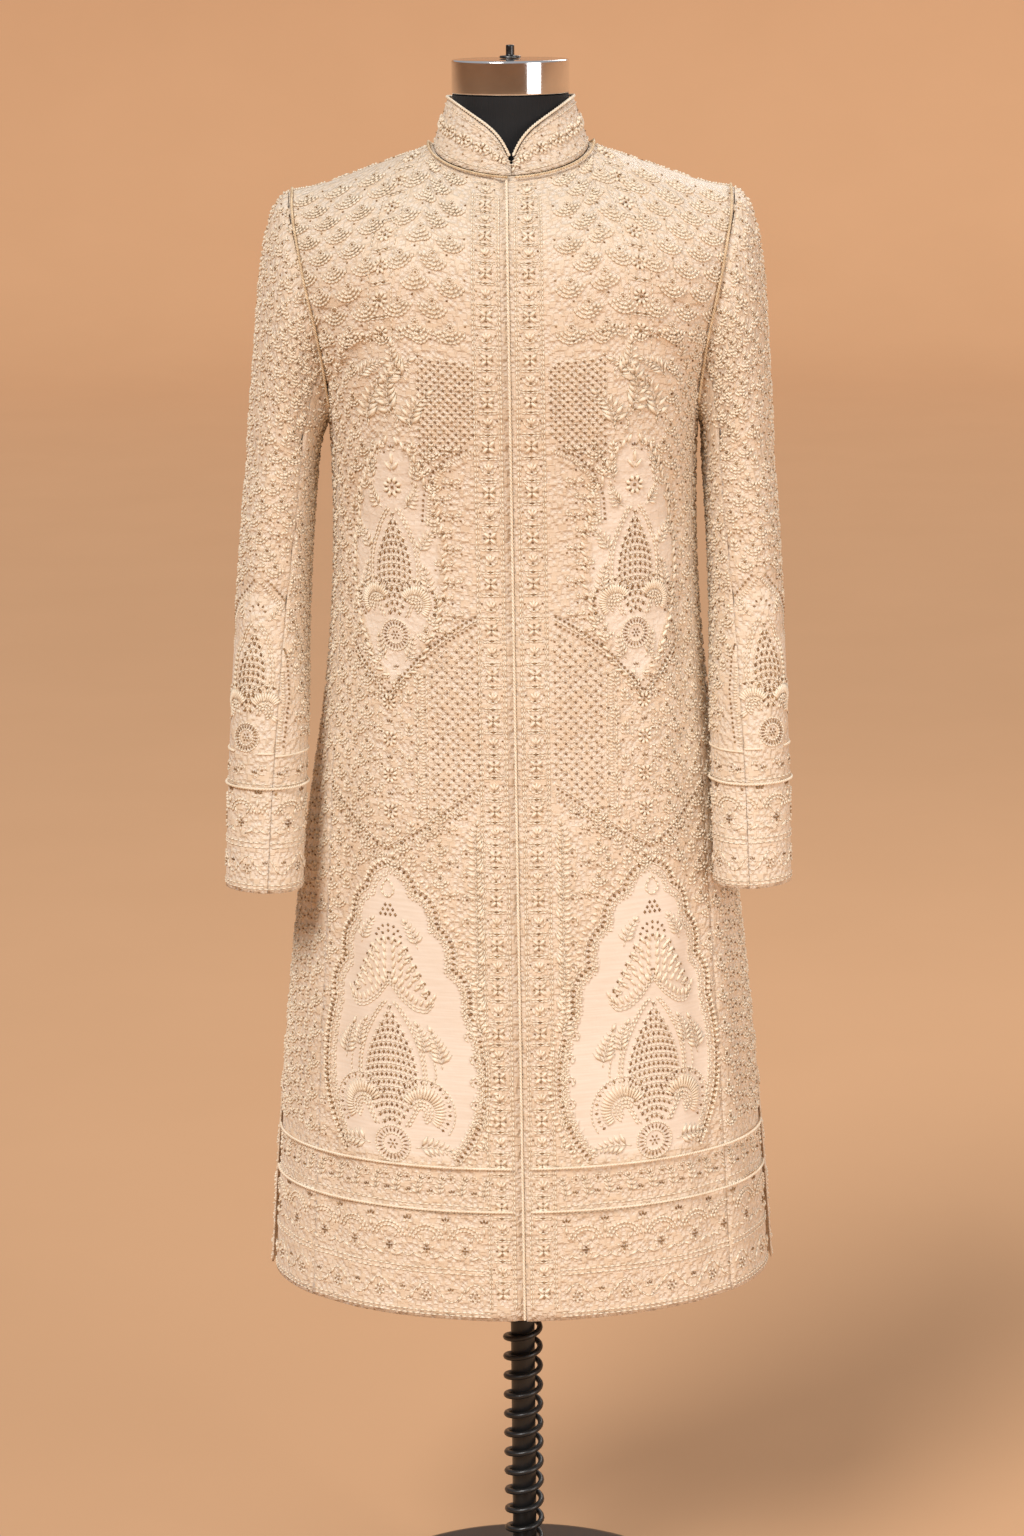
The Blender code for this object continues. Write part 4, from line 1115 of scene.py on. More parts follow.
def ground_cell(work, s, h, pitch, kind):
    """One of the small motifs that cover the ground between the larger ones."""
    if kind == 0:
        for share in (0.48, 0.33):
            work.arc(s, h + 0.001, pitch * share, 195.0, 345.0, 0.0021, 0.0040)
        work.bead(s, h + 0.0015, 0.0026)
        work.arc(s, h + 0.0015, pitch * 0.15, 0.0, 360.0, 0.0012, 0.0026)
        for side in (-1, 1):
            work.leaf(s + side * 0.001, h + 0.004, 90.0 + side * 42.0, pitch * 0.30, 0.0021)
    elif kind == 1:
        for angle in (30.0, 90.0, 150.0, 210.0, 270.0, 330.0):
            work.petal(*aside(s, h, angle, 0.20 * pitch), angle, 0.2 * pitch, 0.0022, True)
        work.bead(s, h, 0.0024)
        for side in (-1, 1):
            curl_s, curl_h, last = s + side * pitch * 0.33, h + pitch * 0.20, 90.0 - side * 270.0
            work.arc(curl_s, curl_h, pitch * 0.14, 90.0, last, 0.0016, 0.0036)
            work.bead(s + side * pitch * 0.42, h - pitch * 0.14, 0.0022)
    else:
        for side in (-1, 1):
            for lift, turn in ((-0.26, 60.0), (-0.08, 52.0), (0.10, 42.0)):
                work.leaf(s, h + lift * pitch, 90.0 - side * turn, pitch * 0.34, 0.0023)
            work.bead(s + side * pitch * 0.38, h + pitch * 0.30, 0.0022)
        work.leaf(s, h + 0.12 * pitch, 90.0, pitch * 0.34, 0.0026)


def ground(work, first, last, foot, top, pitch, allowed, kinds=(0, 1, 0, 2)):
    """Brick rows of small motifs wherever the ground is allowed."""
    rise = pitch * 0.84
    rows = int((top - foot) / rise) + 1
    for r in range(rows):
        h = foot + (r + 0.5) * rise
        columns = int((last - first) / pitch) + 1
        for c in range(columns):
            s = first + (c + (0.5 if r % 2 else 0.0)) * pitch
            if allowed(s, h):
                ground_cell(work, s, h, pitch, kinds[(c + 2 * (r // 2) + r) % len(kinds)])


# ---------------------------------------------------------------- the fronts' design
ARCH_MIDDLE = 0.130
ARCH_TOP = 0.834
# The width of the arch's outer half as a share of its inner half's, so that it stays on its panel.
ARCH_OUTER = 0.80
# Each row is a lobe of the arch's right half: its start, the corner it bulges to, and its end.
ARCH_LOBES = [
    ((0.064, 0.541), (0.116, 0.598), (0.0800, 0.693)),
    ((0.0800, 0.693), (0.0840, 0.722), (0.0640, 0.733)),
    ((0.0640, 0.733), (0.0700, 0.762), (0.0490, 0.775)),
    ((0.0490, 0.775), (0.0510, 0.801), (0.0280, 0.808)),
    ((0.0280, 0.808), (0.0260, 0.827), (0.0000, 0.834)),
]


def quadratic(start, bend, end, q):
    """A place on the curve from start to end that leans towards bend."""
    return [a * (1 - q) ** 2 + b * 2 * q * (1 - q) + c * q * q for a, b, c in zip(start, bend, end)]


def arch_line(step=0.0):
    """The right half of the arch, moved in by a step."""
    line = [quadratic(*lobe, k / 12) for lobe in ARCH_LOBES for k in range(12)]
    path = np.array(line + [ARCH_LOBES[-1][2]])
    ahead = unit(np.gradient(path, axis=0))
    moved = path + np.stack([-ahead[:, 1], ahead[:, 0]], 1) * step
    return np.stack([np.maximum(moved[:, 0], 0.0), moved[:, 1]], 1)


ARCH_LINE = arch_line()
DROP_MIDDLE = 0.117
# The middles of the columns of rosettes, below the waist and on the chest.
ROSETTES_MIDDLE = 0.125
CHEST_MIDDLE = 0.124
FIELD_FOOT = 1.012
FIELD_TOP = 1.240


def arch_half(s, h):
    """Half the arch's width on this side of its middle, or less than nothing above and below it."""
    if not ARCH_LINE[0, 1] <= h <= ARCH_TOP:
        return -1.0
    share = ARCH_OUTER if s > ARCH_MIDDLE else 1.0
    return share * float(np.interp(h, ARCH_LINE[:, 1], ARCH_LINE[:, 0]))


def field_half(h):
    """Half the width of the plainer field round the upper drop."""
    share = (h - FIELD_FOOT) / (FIELD_TOP - FIELD_FOOT)
    return 0.046 * math.sin(math.pi * share) ** 0.65 if 0.0 < share < 1.0 else -1.0


def cover_of(s, h):
    """How much of a front's cloth is stitched over: none inside the arch, a third round the upper drop."""
    if abs(s - ARCH_MIDDLE) < arch_half(s, h) - 0.008:
        return 0.0
    return 0.35 if abs(s - DROP_MIDDLE) < field_half(h) else 1.0


def front_ground(s, h):
    """Where small motifs may cover a front: not on the plain fields, lattices and borders."""
    if abs(s - ARCH_MIDDLE) < arch_half(s, h) + 0.013 or abs(s - DROP_MIDDLE) < field_half(h) - 0.002:
        return False
    lattice_lies = 0.885 < h < 1.050 and s < 0.090
    rosettes_lie = 0.876 < h < 1.000 and abs(s - ROSETTES_MIDDLE) < 0.016
    collarbone_lies = 1.236 < h < 1.335 and s < 0.160
    if lattice_lies or rosettes_lie or collarbone_lies:
        return False
    return s > (0.062 if 0.66 < h < 0.87 else 0.050)


def ringed_bead(work, s, h, r, stitch=0.003):
    """A bead in a ring that doesn't quite close."""
    work.arc(s, h, r, 0.0, 300.0, 0.0013, stitch)
    work.bead(s, h, 0.0024)


def hem_design(work, first, last):
    """The bands across the hem, from the edge upwards."""
    double_line(work, first, last, HEM_Z + 0.004, 0.0035, 0.0013)
    vine_row(work, first + 0.004, last, HEM_Z + 0.0095, 0.034)
    double_line(work, first, last, HEM_Z + 0.0465)
    flower_row(work, first + 0.006, last, HEM_Z + 0.056)
    double_line(work, first, last, HEM_Z + 0.1075, 0.0080, 0.0012)
    count, foot = max(int((last - first) / 0.021), 1), HEM_Z + 0.1215
    for k in range(count):
        s = first + (k + 0.5) * (last - first) / count
        feather(work, s - 0.007, foot, 62.0, 0.020, 50.0, 4)
        sprig(work, s + 0.004, foot + 0.005, 80.0, 0.0058)
        sprig(work, s - 0.008, foot + 0.0185, 120.0, 0.0052)
        ringed_bead(work, s + 0.005, foot + 0.0205, 0.0042)


# Each row is a feather beside a middle: how far out, height, lean outwards, length, bend and leaves.
ARCH_FEATHERS = [
    (0.024, 0.553, 74.0, 0.034, -30.0, 6),
    (0.034, 0.645, 12.0, 0.030, 40.0, 6),
    (0.052, 0.634, -4.0, 0.036, 20.0, 7),
    (0.030, 0.752, -8.0, 0.026, 30.0, 5),
]
UPPER_FEATHERS = [
    (0.012, 1.176, 60.0, 0.024, 50.0, 6),
    (0.026, 1.132, 14.0, 0.026, -30.0, 5),
    (0.010, 1.030, 40.0, 0.022, 30.0, 5),
    (0.020, 1.200, 34.0, 0.022, 46.0, 5),
    (0.034, 1.092, 8.0, 0.026, 24.0, 5),
]


def feathers(work, middle, side, rows):
    for out, h, lean, length, bend, leaves in rows:
        feather(work, middle + side * out, h, 90.0 - side * lean, length, side * bend, leaves)


def arch_design(work):
    """The large lobed arch above the hem, with its drop, fans, crown and sunburst."""
    for side in (-1, 1):
        def outline(step):
            """This half of the arch, moved in by a step."""
            share = ARCH_OUTER if side > 0 else -1.0
            return [(ARCH_MIDDLE + share * s, h) for s, h in arch_line(step)]

        work.line(outline(-0.0036), 0.0017)
        work.line(outline(0.0034), 0.0017)
        for s, h, angle in walk(outline(0.0), 0.0056):
            work.dash(s, h, angle + 90.0, 0.0048, 0.0028)
        for s, h, angle in walk(outline(-0.0066), 0.0062):
            work.leaf(s, h, angle + 90.0, 0.0060, 0.0026, False)
        for s, h, angle in walk(outline(0.0082), 0.0086):
            work.arc(s, h, 0.0040, angle - 10.0, angle + 190.0, 0.0015, 0.0032)
            work.petal(s, h, angle + 90.0, 0.0042, 0.0018, True)
        wing(work, ARCH_MIDDLE + side * 0.0300, 0.5890, side, 0.0310)
        feathers(work, ARCH_MIDDLE, side, ARCH_FEATHERS)
        stem = ((0.018, 0.574), (0.046, 0.625), (0.040, 0.668))
        work.line([(ARCH_MIDDLE + side * out, h) for out, h in stem], 0.0014)
        drop = ((0.0, 0.819), (0.0066, 0.810), (0.0066, 0.804), (0.0, 0.800))
        work.line([(ARCH_MIDDLE + side * out, h) for out, h in drop], 0.0019)
    teardrop(work, ARCH_MIDDLE, 0.574, 0.686, 0.0275)
    sunburst(work, ARCH_MIDDLE, 0.5555, 0.0165)
    crown(work, ARCH_MIDDLE, 0.698, 0.764, 0.0410)


def chevron_design(work):
    """The borders that rise to both sides from the arch's point, and the leaves beside the arch."""
    left = [(0.036, 0.905), (0.070, 0.880), (0.100, 0.858), (ARCH_MIDDLE, 0.840)]
    right = [(ARCH_MIDDLE, 0.840), (0.158, 0.858), (0.184, 0.880), (0.215, 0.906)]
    for path in (left, right):
        work.ladder(path, 0.0058, 0.0032, 0.0016)
        for lift, pitch, size in ((0.0060, 0.0050, 0.0026), (-0.0060, 0.0066, 0.0022)):
            work.dots(moved(path, 0.0, lift), pitch, size)
        work.line(moved(path, 0.0, 0.0095), 0.0014)
    for k in range(14):
        h = 0.552 + 0.0225 * k
        reach = 0.030 if 0.66 < h < 0.86 else 0.016
        feather(work, 0.0365, h, 52.0, reach, 52.0, 6)
        work.arc(0.0400 + 0.35 * reach, h + 0.003, 0.0050, -70.0, 190.0, 0.0018)
        work.bead(0.0400 + 0.35 * reach, h + 0.003, 0.0026)


def lattice_design(work):
    """The beaded lattice beside the border, inside its ladder edges."""
    def allowed(s, h):
        return h < 1.060 - 0.55 * (s - 0.035) and h > 0.915 - 0.62 * (s - 0.035)

    lattice(work, 0.0365, 0.083, 0.872, 1.062, 0.0098, allowed)
    work.ladder([(0.0905, 0.880), (0.0905, 1.020)], 0.0062, 0.0030, 0.0015)
    for s in (0.0860, 0.0955):
        work.line([(s, 0.880), (s, 1.022)], 0.0013)
    edge = [(0.036, 1.074), (0.062, 1.058), (0.092, 1.034), (0.112, 1.012)]
    edge += [(0.125, 0.996), (0.142, 1.012), (0.168, 1.040)]
    work.dots(moved(edge, 0.0, 0.002), 0.0048, 0.0028)
    work.dots(moved(edge, 0.0, -0.0055), 0.0048, 0.0024)
    work.line(moved(edge, 0.0, -0.0018), 0.0015)


def upper_design(work):
    """The smaller drop at the waist, on a plainer field between pale leaves."""
    for side in (-1, 1):
        edge = []
        for k in range(31):
            h = mix(FIELD_FOOT + 0.001, FIELD_TOP - 0.001, k / 30)
            ripple = 0.0030 * abs(math.sin(math.pi * 6 * k / 30))
            edge.append((DROP_MIDDLE + side * (field_half(h) + 0.001 + ripple), h))
        for k, (s, h, angle) in enumerate(walk(edge, 0.0080)):
            work.leaf(s, h, angle - side * 34.0, 0.0095, 0.0028, False)
            if k % 2:
                work.bead(s + side * 0.005, h, 0.0024)
        wing(work, DROP_MIDDLE + side * 0.0200, 1.0840, side, 0.0225)
        feathers(work, DROP_MIDDLE, side, UPPER_FEATHERS)
    teardrop(work, DROP_MIDDLE, 1.072, 1.164, 0.0195, 0.0066)
    sunburst(work, DROP_MIDDLE, 1.0545, 0.0135)
    rosette(work, DROP_MIDDLE, 1.196, 0.0105)
    for lift, turn in ((0.006, 40.0), (0.006, -40.0), (0.012, 0.0)):
        work.leaf(DROP_MIDDLE, 1.206 + lift, 90.0 + turn, 0.0120, 0.0030, False)
    sprig(work, DROP_MIDDLE, 1.232, 90.0, 0.0062)
    for k in range(5):
        sprig(work, DROP_MIDDLE - 0.034 + 0.017 * k, 1.022 + 0.010 * abs(k - 2), 90.0, 0.0052)


def collarbone_design(work):
    """The fine crossed lattice, large curled leaves and rows of scallops of the chest."""
    def allowed(s, h):
        return h < 1.318 + 0.10 * (s - 0.04) and h > 1.240 - 0.50 * (s - 0.04)

    lattice(work, 0.0365, 0.088, 1.215, 1.330, 0.0078, allowed)
    border = [(0.036, 1.232), (0.055, 1.224), (0.071, 1.208), (0.080, 1.186), (0.082, 1.160)]
    work.ladder(border, 0.0058, 0.0028, 0.0015)
    work.dots(moved(border, 0.005, 0.003), 0.0048, 0.0026)
    for s, h, angle, size in (
        (0.097, 1.250, 80.0, 0.040),
        (0.112, 1.262, 48.0, 0.044),
        (0.120, 1.290, 96.0, 0.036),
        (0.142, 1.252, 72.0, 0.046),
        (0.098, 1.298, 30.0, 0.038),
        (0.150, 1.300, 110.0, 0.030),
    ):
        feather(work, s, h, angle, size, 60.0, 6)
        work.arc(s + 0.006, h + 0.006, 0.0075, -60.0, 200.0, 0.0016)
        work.bead(s + 0.006, h + 0.006, 0.0024)
    pitch = 0.0335
    for r in range(9):
        h = 1.352 + r * 0.0225
        for c in range(7):
            s = 0.056 + (c + (0.5 if r % 2 else 0.0)) * pitch
            if abs(s - CHEST_MIDDLE) < 0.010:
                continue
            scallop(work, s, h, pitch * 0.86)
            work.bead(s - pitch * 0.42, h + 0.004, 0.0022)
            work.leaf(s, h - pitch * 0.20, 270.0, 0.006, 0.0022)
    for k in range(7):
        h = 1.345 + 0.033 * k
        rosette(work, CHEST_MIDDLE, h, 0.0088)
        bar = h + 0.0165
        for side in (-1, 1):
            edge, lift = CHEST_MIDDLE + side * 0.0115, side * 0.0015
            work.line([(CHEST_MIDDLE - 0.009, bar + lift), (CHEST_MIDDLE + 0.009, bar + lift)], 0.0013)
            work.line([(edge, h - 0.014), (edge, h + 0.014)], 0.0013)
            work.dash(CHEST_MIDDLE + side * 0.004, bar, 0, 0.004, 0.0022)


def front_design(band_middle):
    work = Needlework()
    border_band(work, band_middle, HEM_Z + 0.012, 1.512)
    hem_design(work, 0.034, 0.232)
    arch_design(work)
    chevron_design(work)
    lattice_design(work)
    upper_design(work)
    collarbone_design(work)
    for k in range(7):
        h = 0.884 + 0.0175 * k
        if k % 2 == 0:
            rosette(work, ROSETTES_MIDDLE, h, 0.0085)
        else:
            sprig(work, ROSETTES_MIDDLE, h - 0.003, 90.0, 0.006)
        for side in (-1, 1):
            first, last = 90.0 + side * 80, 90.0 - side * 150
            work.arc(ROSETTES_MIDDLE + side * 0.0095, h + 0.004, 0.0045, first, last, 0.0017)
    ground(work, 0.048, 0.245, 0.545, 1.340, 0.0188, front_ground)
    return work


# ---------------------------------------------------------------- sides, back, sleeves, collar
def side_design():
    """The side panel goes on with the hem bands under a small ground of beads and curls."""
    work = Needlework()
    hem_design(work, 0.002, 0.095)
    ground(work, 0.010, 0.10, 0.548, 1.250, 0.0188, lambda s, h: True, (0, 2, 1, 0))
    return work


def back_design():
    """The hem bands right across, the arch on each half, and a lighter ground above."""
    def allowed(s, h):
        return abs(s - ARCH_MIDDLE) > arch_half(s, h) + 0.014

    work = Needlework()
    for flip in (1.0, -1.0):
        half = Needlework(flip)
        hem_design(half, 0.0, 0.33)
        arch_design(half)
        ground(half, 0.013, 0.330, 0.548, 1.560, 0.0260, allowed)
        for kind, rows in half.rows.items():
            work.rows[kind] += rows
    return work


def sleeve_design(lower):
    """Cuff bands, then a drop under an arch, then rows of small motifs up to the shoulder.

    lower gives the flat height of the cuff, and s is 0 in the middle of what faces the front.
    """
    work = Needlework()
    first, last = -0.22, 0.22
    double_line(work, first, last, lower + 0.004, 0.0035, 0.0013)
    vine_row(work, first, last, lower + 0.0115, 0.030, 0.036)
    double_line(work, first, last, lower + 0.0440)
    flower_row(work, first, last, lower + 0.0525, 0.033)
    work.line([(first, lower + 0.1045), (last, lower + 0.1045)], 0.0013, 0.006)
    count = 20
    for k in range(count):
        s = mix(first, last, (k + 0.5) / count)
        sprig(work, s, lower + 0.1135, 75.0, 0.0058)
        ringed_bead(work, s + 0.008, lower + 0.118, 0.0048, 0.0046)
    line_h = lower + 0.1335
    for low, high in ((first, -0.014), (0.014, last)):
        work.rope([(low, line_h), (high, line_h)], 0.0022)
    drop_h = lower + 0.160
    sunburst(work, 0.0, lower + 0.1485, 0.0125)
    teardrop(work, 0.0, drop_h + 0.010, drop_h + 0.086, 0.0155, 0.0066)
    for side in (-1, 1):
        wing(work, side * 0.0165, drop_h + 0.014, side, 0.0225)
        feather(work, side * 0.012, drop_h + 0.100, 90.0 - side * 60.0, 0.018, side * 40.0, 4)
        arch = [(side * 0.052, line_h + 0.004)]
        for out, up in ((0.055, 0.030), (0.050, 0.066), (0.036, 0.098), (0.020, 0.118), (0.0, 0.138)):
            arch.append((side * out, drop_h + up))
        work.ladder(arch, 0.0055, 0.0029, 0.0015)
        work.dots(moved(arch, side * 0.0058, 0.003), 0.0047, 0.0025)
    for k in range(5):
        angle = mix(10.0, 170.0, k / 4)
        work.dash(*aside(0.0, drop_h + 0.108, angle, 0.008), angle, 0.0034, 0.002)

    def allowed(s, h):
        field = 0.060 * (1 - max((h - drop_h - 0.02) / 0.135, 0.0) ** 1.6)
        return h > drop_h + 0.150 or abs(s) > max(field, 0.0) + 0.010

    ground(work, -0.232, 0.24, lower + 0.145, lower + 0.80, 0.0188, allowed, (0, 0, 1, 0, 2))
    return work


def collar_design(half, high):
    """A row of rosettes and leaves between edge lines, all round the collar."""
    work = Needlework()
    for share in (0.10, 0.90):
        work.line([(-half, share * high), (half, share * high)], 0.0012, 0.004)
    count = int(2 * half / 0.0225) + 1
    for k in range(count):
        s = -half + (k + 0.5) * 2 * half / count
        rosette(work, s, 0.52 * high, 0.0078)
        edge = s + half / count
        for side in (-1, 1):
            for up in (90.0, 270.0):
                work.leaf(edge, 0.50 * high, up + side * 40.0, 0.0085, 0.0024)
            work.bead(edge, (0.5 + side * 0.25) * high, 0.0020)
        work.bead(edge, 0.5 * high, 0.0024)
    return work


# ---------------------------------------------------------------- sleeves and collar, as surfaces
def body_level(point, behind):
    x, y, z = abs(point.x), abs(point.y), point.z
    power = squareness(z)
    share = x / half_width(z, behind)
    fall = (shoulder_z(x) - z) / SHOULDER_ROUNDING
    if fall >= 1.0:
        return share**power + (y / depth(z, behind)) ** power - 1
    across = max(1 - share**power, 1e-9) ** (1 / power)
    return (y / (depth(z, behind) * across)) ** 2 + (1 - fall) ** 2 - 1


def body_out(point, behind):
    """The outward direction at a point of the coat's surface."""
    step = 0.0004
    slope = Vector()
    for axis in range(3):
        ahead, back = point.copy(), point.copy()
        ahead[axis] += step
        back[axis] -= step
        slope[axis] = body_level(ahead, behind) - body_level(back, behind)
    return slope.normalized()


def armhole_half(behind):
    """The armhole's edge, from the shoulder down to the armpit, and the share of its length so far."""
    foot_z = ARMPIT_Z if behind else SIDE_SEAM_TOP_Z
    places = []
    for k in range(41):
        z = mix(foot_z, SHOULDER_TIP_Z, 1 - k / 40)
        x = armhole_x(z, behind)
        places.append(Vector((x, body_y(x, z, behind), z)))
    if not behind:
        for k in range(1, 7):
            z = side_top_z(k / 6)
            places.append(Vector(ring_point(mix(turn_at(front_seam_x(z), z), 90.0, k / 6), z)))
    steps = [(there - here).length for here, there in zip(places, places[1:])]
    along = np.concatenate([[0.0], np.cumsum(steps)])
    return np.array([place[:] for place in places]), along / along[-1]


ARMHOLE_HALVES = {behind: armhole_half(behind) for behind in (False, True)}
ARMHOLE_SLANT = Vector((SHOULDER_TIP_X - half_width(ARMPIT_Z), 0.0, SHOULDER_TIP_Z - ARMPIT_Z))
ARMHOLE_RISE = ARMHOLE_SLANT.normalized()
ARMHOLE_OUT = Vector((ARMHOLE_RISE.z, 0.0, -ARMHOLE_RISE.x))
SLEEVE_TOP_HEIGHT = -SLEEVE_SECTIONS[0][0]


def armhole_point(turn):
    """A point of the left armhole: 0 at the shoulder, 90 at the front, 180 at the armpit."""
    turn %= 360
    behind = turn > 180
    places, along = ARMHOLE_HALVES[behind]
    share = (360 - turn) / 180 if behind else turn / 180
    return Vector([float(np.interp(share, along, places[:, axis])) for axis in range(3)]), behind


def armhole_ahead(turn):
    return armhole_point(turn + 2)[0] - armhole_point(turn - 2)[0]


def sleeve_ring_point(turn, z):
    """A point of the sleeve's level ring: turn is 0 outside, 90 in front and 180 inside."""
    centre = Vector((read_rows(SLEEVE_SECTIONS, -z, 1), read_rows(SLEEVE_SECTIONS, -z, 2), z))
    wide = read_rows(SLEEVE_SECTIONS, -z, 3)
    deep = read_rows(SLEEVE_SECTIONS, -z, 4)
    lean = math.radians(read_rows(SLEEVE_SECTIONS, -z, 5))
    long = math.sqrt(wide**2 - (deep * math.sin(lean)) ** 2) / math.cos(lean)
    power = 2 / SLEEVE_SQUARENESS
    cos, sin = math.cos(math.radians(turn)), math.sin(math.radians(turn))
    across, ahead = long * rounded_power(cos, power), deep * rounded_power(sin, power)
    x = across * math.cos(lean) + ahead * math.sin(lean)
    y = across * math.sin(lean) - ahead * math.cos(lean)
    return centre + Vector((x, y, 0.0))


def sleeve_point(turn, down, splay):
    """A point of the left sleeve: down is 0 at the armhole, 1 at the arm's top ring, 2 at the cuff."""
    ease_in = 1.0
    if down >= 1.0:
        place = sleeve_ring_point(turn, mix(SLEEVE_TOP_HEIGHT, CUFF_Z, down - 1.0))
    else:
        start, _ = armhole_point(turn)
        end = sleeve_ring_point(turn, SLEEVE_TOP_HEIGHT)
        reach = (end - start).length
        bulge = -math.sin(math.radians(turn)) * SLEEVE_HEAD_BULGE
        leave = Vector((ARMHOLE_OUT.x, bulge, ARMHOLE_OUT.z)) * reach * SLEEVE_HEAD_PULL
        arrive = (sleeve_ring_point(turn, SLEEVE_TOP_HEIGHT - 0.02) - end).normalized() * reach
        s = down
        place = start * (1 + 2 * s) * (1 - s) ** 2 + end * s * s * (3 - 2 * s)
        place = place + leave * s * (1 - s) ** 2 - arrive * s * s * (1 - s)
        ease_in = ease(0.0, 1.0, s)
    swing = max(SHOULDER_TIP_Z - place.z, 0.0) / (SHOULDER_TIP_Z - CUFF_Z)
    place.x += splay * swing * ease_in
    return place


def sleeve_out(turn, down, splay):
    around = sleeve_point(turn + 0.8, down, splay) - sleeve_point(turn - 0.8, down, splay)
    low, high = max(down - 0.01, 0.0), min(down + 0.01, 2.0)
    along = sleeve_point(turn, high, splay) - sleeve_point(turn, low, splay)
    return around.cross(along).normalized()


def sleeve_points(splay, first, last, columns, arm_rows, head_rows):
    """Rows of points from the cuff up to the armhole, for the left sleeve."""
    downs = [2.0 - k / arm_rows for k in range(arm_rows)]
    downs += [(1 - k / head_rows) ** 1.3 for k in range(head_rows + 1)]
    rows = []
    for down in downs:
        row = []
        for k in range(columns + 1):
            turn = mix(first, last, k / columns)
            if k in (0, columns):
                degree = sleeve_point(turn + 0.5, down, splay) - sleeve_point(turn - 0.5, down, splay)
                turn += (1 if k == 0 else -1) * SEAM_GAP / 2 / degree.length
            place = sleeve_point(turn, down, splay)
            if down == 0.0:
                inward = body_out(*armhole_point(turn)).cross(armhole_ahead(turn)).normalized()
                place = place + inward * 2 * SEAM_GAP
            row.append(place[:])
        rows.append(row)
    return np.array(rows)


def neck_point(turn):
    """A point of the neckline: turn is 0 at the back, and 180 degrees at the front."""
    behind = abs(turn) < 90
    x = NECK_SIDE_X * math.sin(math.radians(abs(turn)))
    z = neck_z(x, behind)
    return Vector((math.copysign(x, turn), body_y(x, z, behind), z))


def collar_place(turn, climb):
    """The collar's outer face: climb is 0 at the seam and 1 at full height."""
    foot = neck_point(turn)
    angle = math.radians(turn)
    ahead = (1 - math.cos(angle)) / 2
    head_y = mix(COLLAR_TOP_BACK_Y, COLLAR_TOP_FRONT_Y, ahead)
    end_z = mix(COLLAR_TOP_BACK_Z, COLLAR_TOP_FRONT_Z, ahead)
    head_z = mix(end_z, COLLAR_TOP_SIDE_Z, math.sin(angle) ** 2)
    head = Vector((COLLAR_TOP_HALF_WIDTH * math.sin(angle), head_y, head_z))
    inward = Vector((-math.sin(angle), -math.cos(angle), 0.0)) * SEAM_GAP
    foot = foot + inward + Vector((0.0, 0.0, LAYER_GAP + SEAM_GAP))
    return foot.lerp(head, climb)


def collar_height(turn):
    """The share of its full height that the collar reaches: it rounds off at the front corners."""
    gap = (collar_place(turn, 0.0) - collar_place(math.copysign(180.0, turn), 0.0)).length
    return 1 - (1 - COLLAR_CORNER_HEIGHT) * math.exp(-gap / COLLAR_CORNER_REACH)


def collar_out(turn, climb):
    around = collar_place(turn + 0.5, climb) - collar_place(turn - 0.5, climb)
    up = collar_place(turn, climb + 0.05) - collar_place(turn, climb - 0.05)
    return around.cross(up).normalized()


def net_of(place, columns, rows):
    """The net of places that a function gives for a share across and a share up."""
    return np.array([[place(c / columns, r / rows) for c in range(columns + 1)] for r in range(rows + 1)])


def collar_net_place(across, up):
    """The columns are closer together at both front corners."""
    turn = 179.75 * math.sin(math.pi / 2 * mix(-1.0, 1.0, across))
    return collar_place(turn, up * collar_height(turn))[:]


def side_net_place(across, up):
    level = mix(HEM_Z, side_top_z(across), up)
    first = turn_beside(turn_at(front_seam_x(level), level), level, SEAM_GAP / 2)
    turn = mix(first, turn_beside(90.0, level, -SEAM_GAP / 2), across)
    return ring_point(turn, mix(hem_z(turn), side_top_z(across), up))


# ---------------------------------------------------------------- cords
def add_cord(name, path, radius, slot, turn_length, closed=False):
    """A cord of two strands laid round each other along a path."""
    path = [Vector(place) for place in path]
    if closed:
        path = path + path[:1]
    curve = round_curve(name + "_twist", radius * 0.62, 1, not closed)
    along = np.concatenate([[0.0], np.cumsum([(b - a).length for a, b in zip(path, path[1:])])])
    turns = max(round(along[-1] / turn_length), 1)
    count = turns * 6
    at = np.linspace(0.0, along[-1], count + 1)
    net = np.array([place[:] for place in path])
    line = np.stack([np.interp(at, along, net[:, axis]) for axis in range(3)], 1)
    ahead = unit(np.gradient(line, axis=0))
    if closed:
        ahead[0] = ahead[-1] = unit((line[1] - line[-2])[None])[0]
    beside = unit(np.cross(ahead, np.broadcast_to([0.03, 0.04, 1.0], ahead.shape)))
    up = np.cross(beside, ahead)
    last = count if closed else count + 1
    for strand in range(2):
        angle = math.tau * at / along[-1] * turns + math.pi * strand
        places = line + (beside * np.cos(angle)[:, None] + up * np.sin(angle)[:, None]) * radius * 0.5
        spline = curve.splines.new("POLY")
        spline.points.add(last - 1)
        spline.points.foreach_set("co", np.append(places[:last], np.ones((last, 1)), axis=1).ravel())
        spline.use_cyclic_u = closed
    finish_piece(name + "_twist", curve, slot, [name])


CORD_RADIUS = 0.0013
PIPING_RADIUS = 0.0014
# The length in which a cord's strands turn once round each other.
CORD_TWIST = 0.006
HEM_CORDS = {"upper": 0.537, "lower": 0.4935}


def collar_piping_line():
    line = []
    for k in range(161):
        turn = 177.0 * math.sin(math.pi / 2 * mix(-1.0, 1.0, k / 160))
        edge = collar_place(turn, collar_height(turn))
        after = collar_place(turn + 0.5, collar_height(turn + 0.5))
        before = collar_place(turn - 0.5, collar_height(turn - 0.5))
        out = collar_out(turn, collar_height(turn))
        up = out.cross((after - before).normalized())
        line.append(edge + up * (PIPING_RADIUS + LAYER_GAP) - out * CLOTH / 2)
    return line


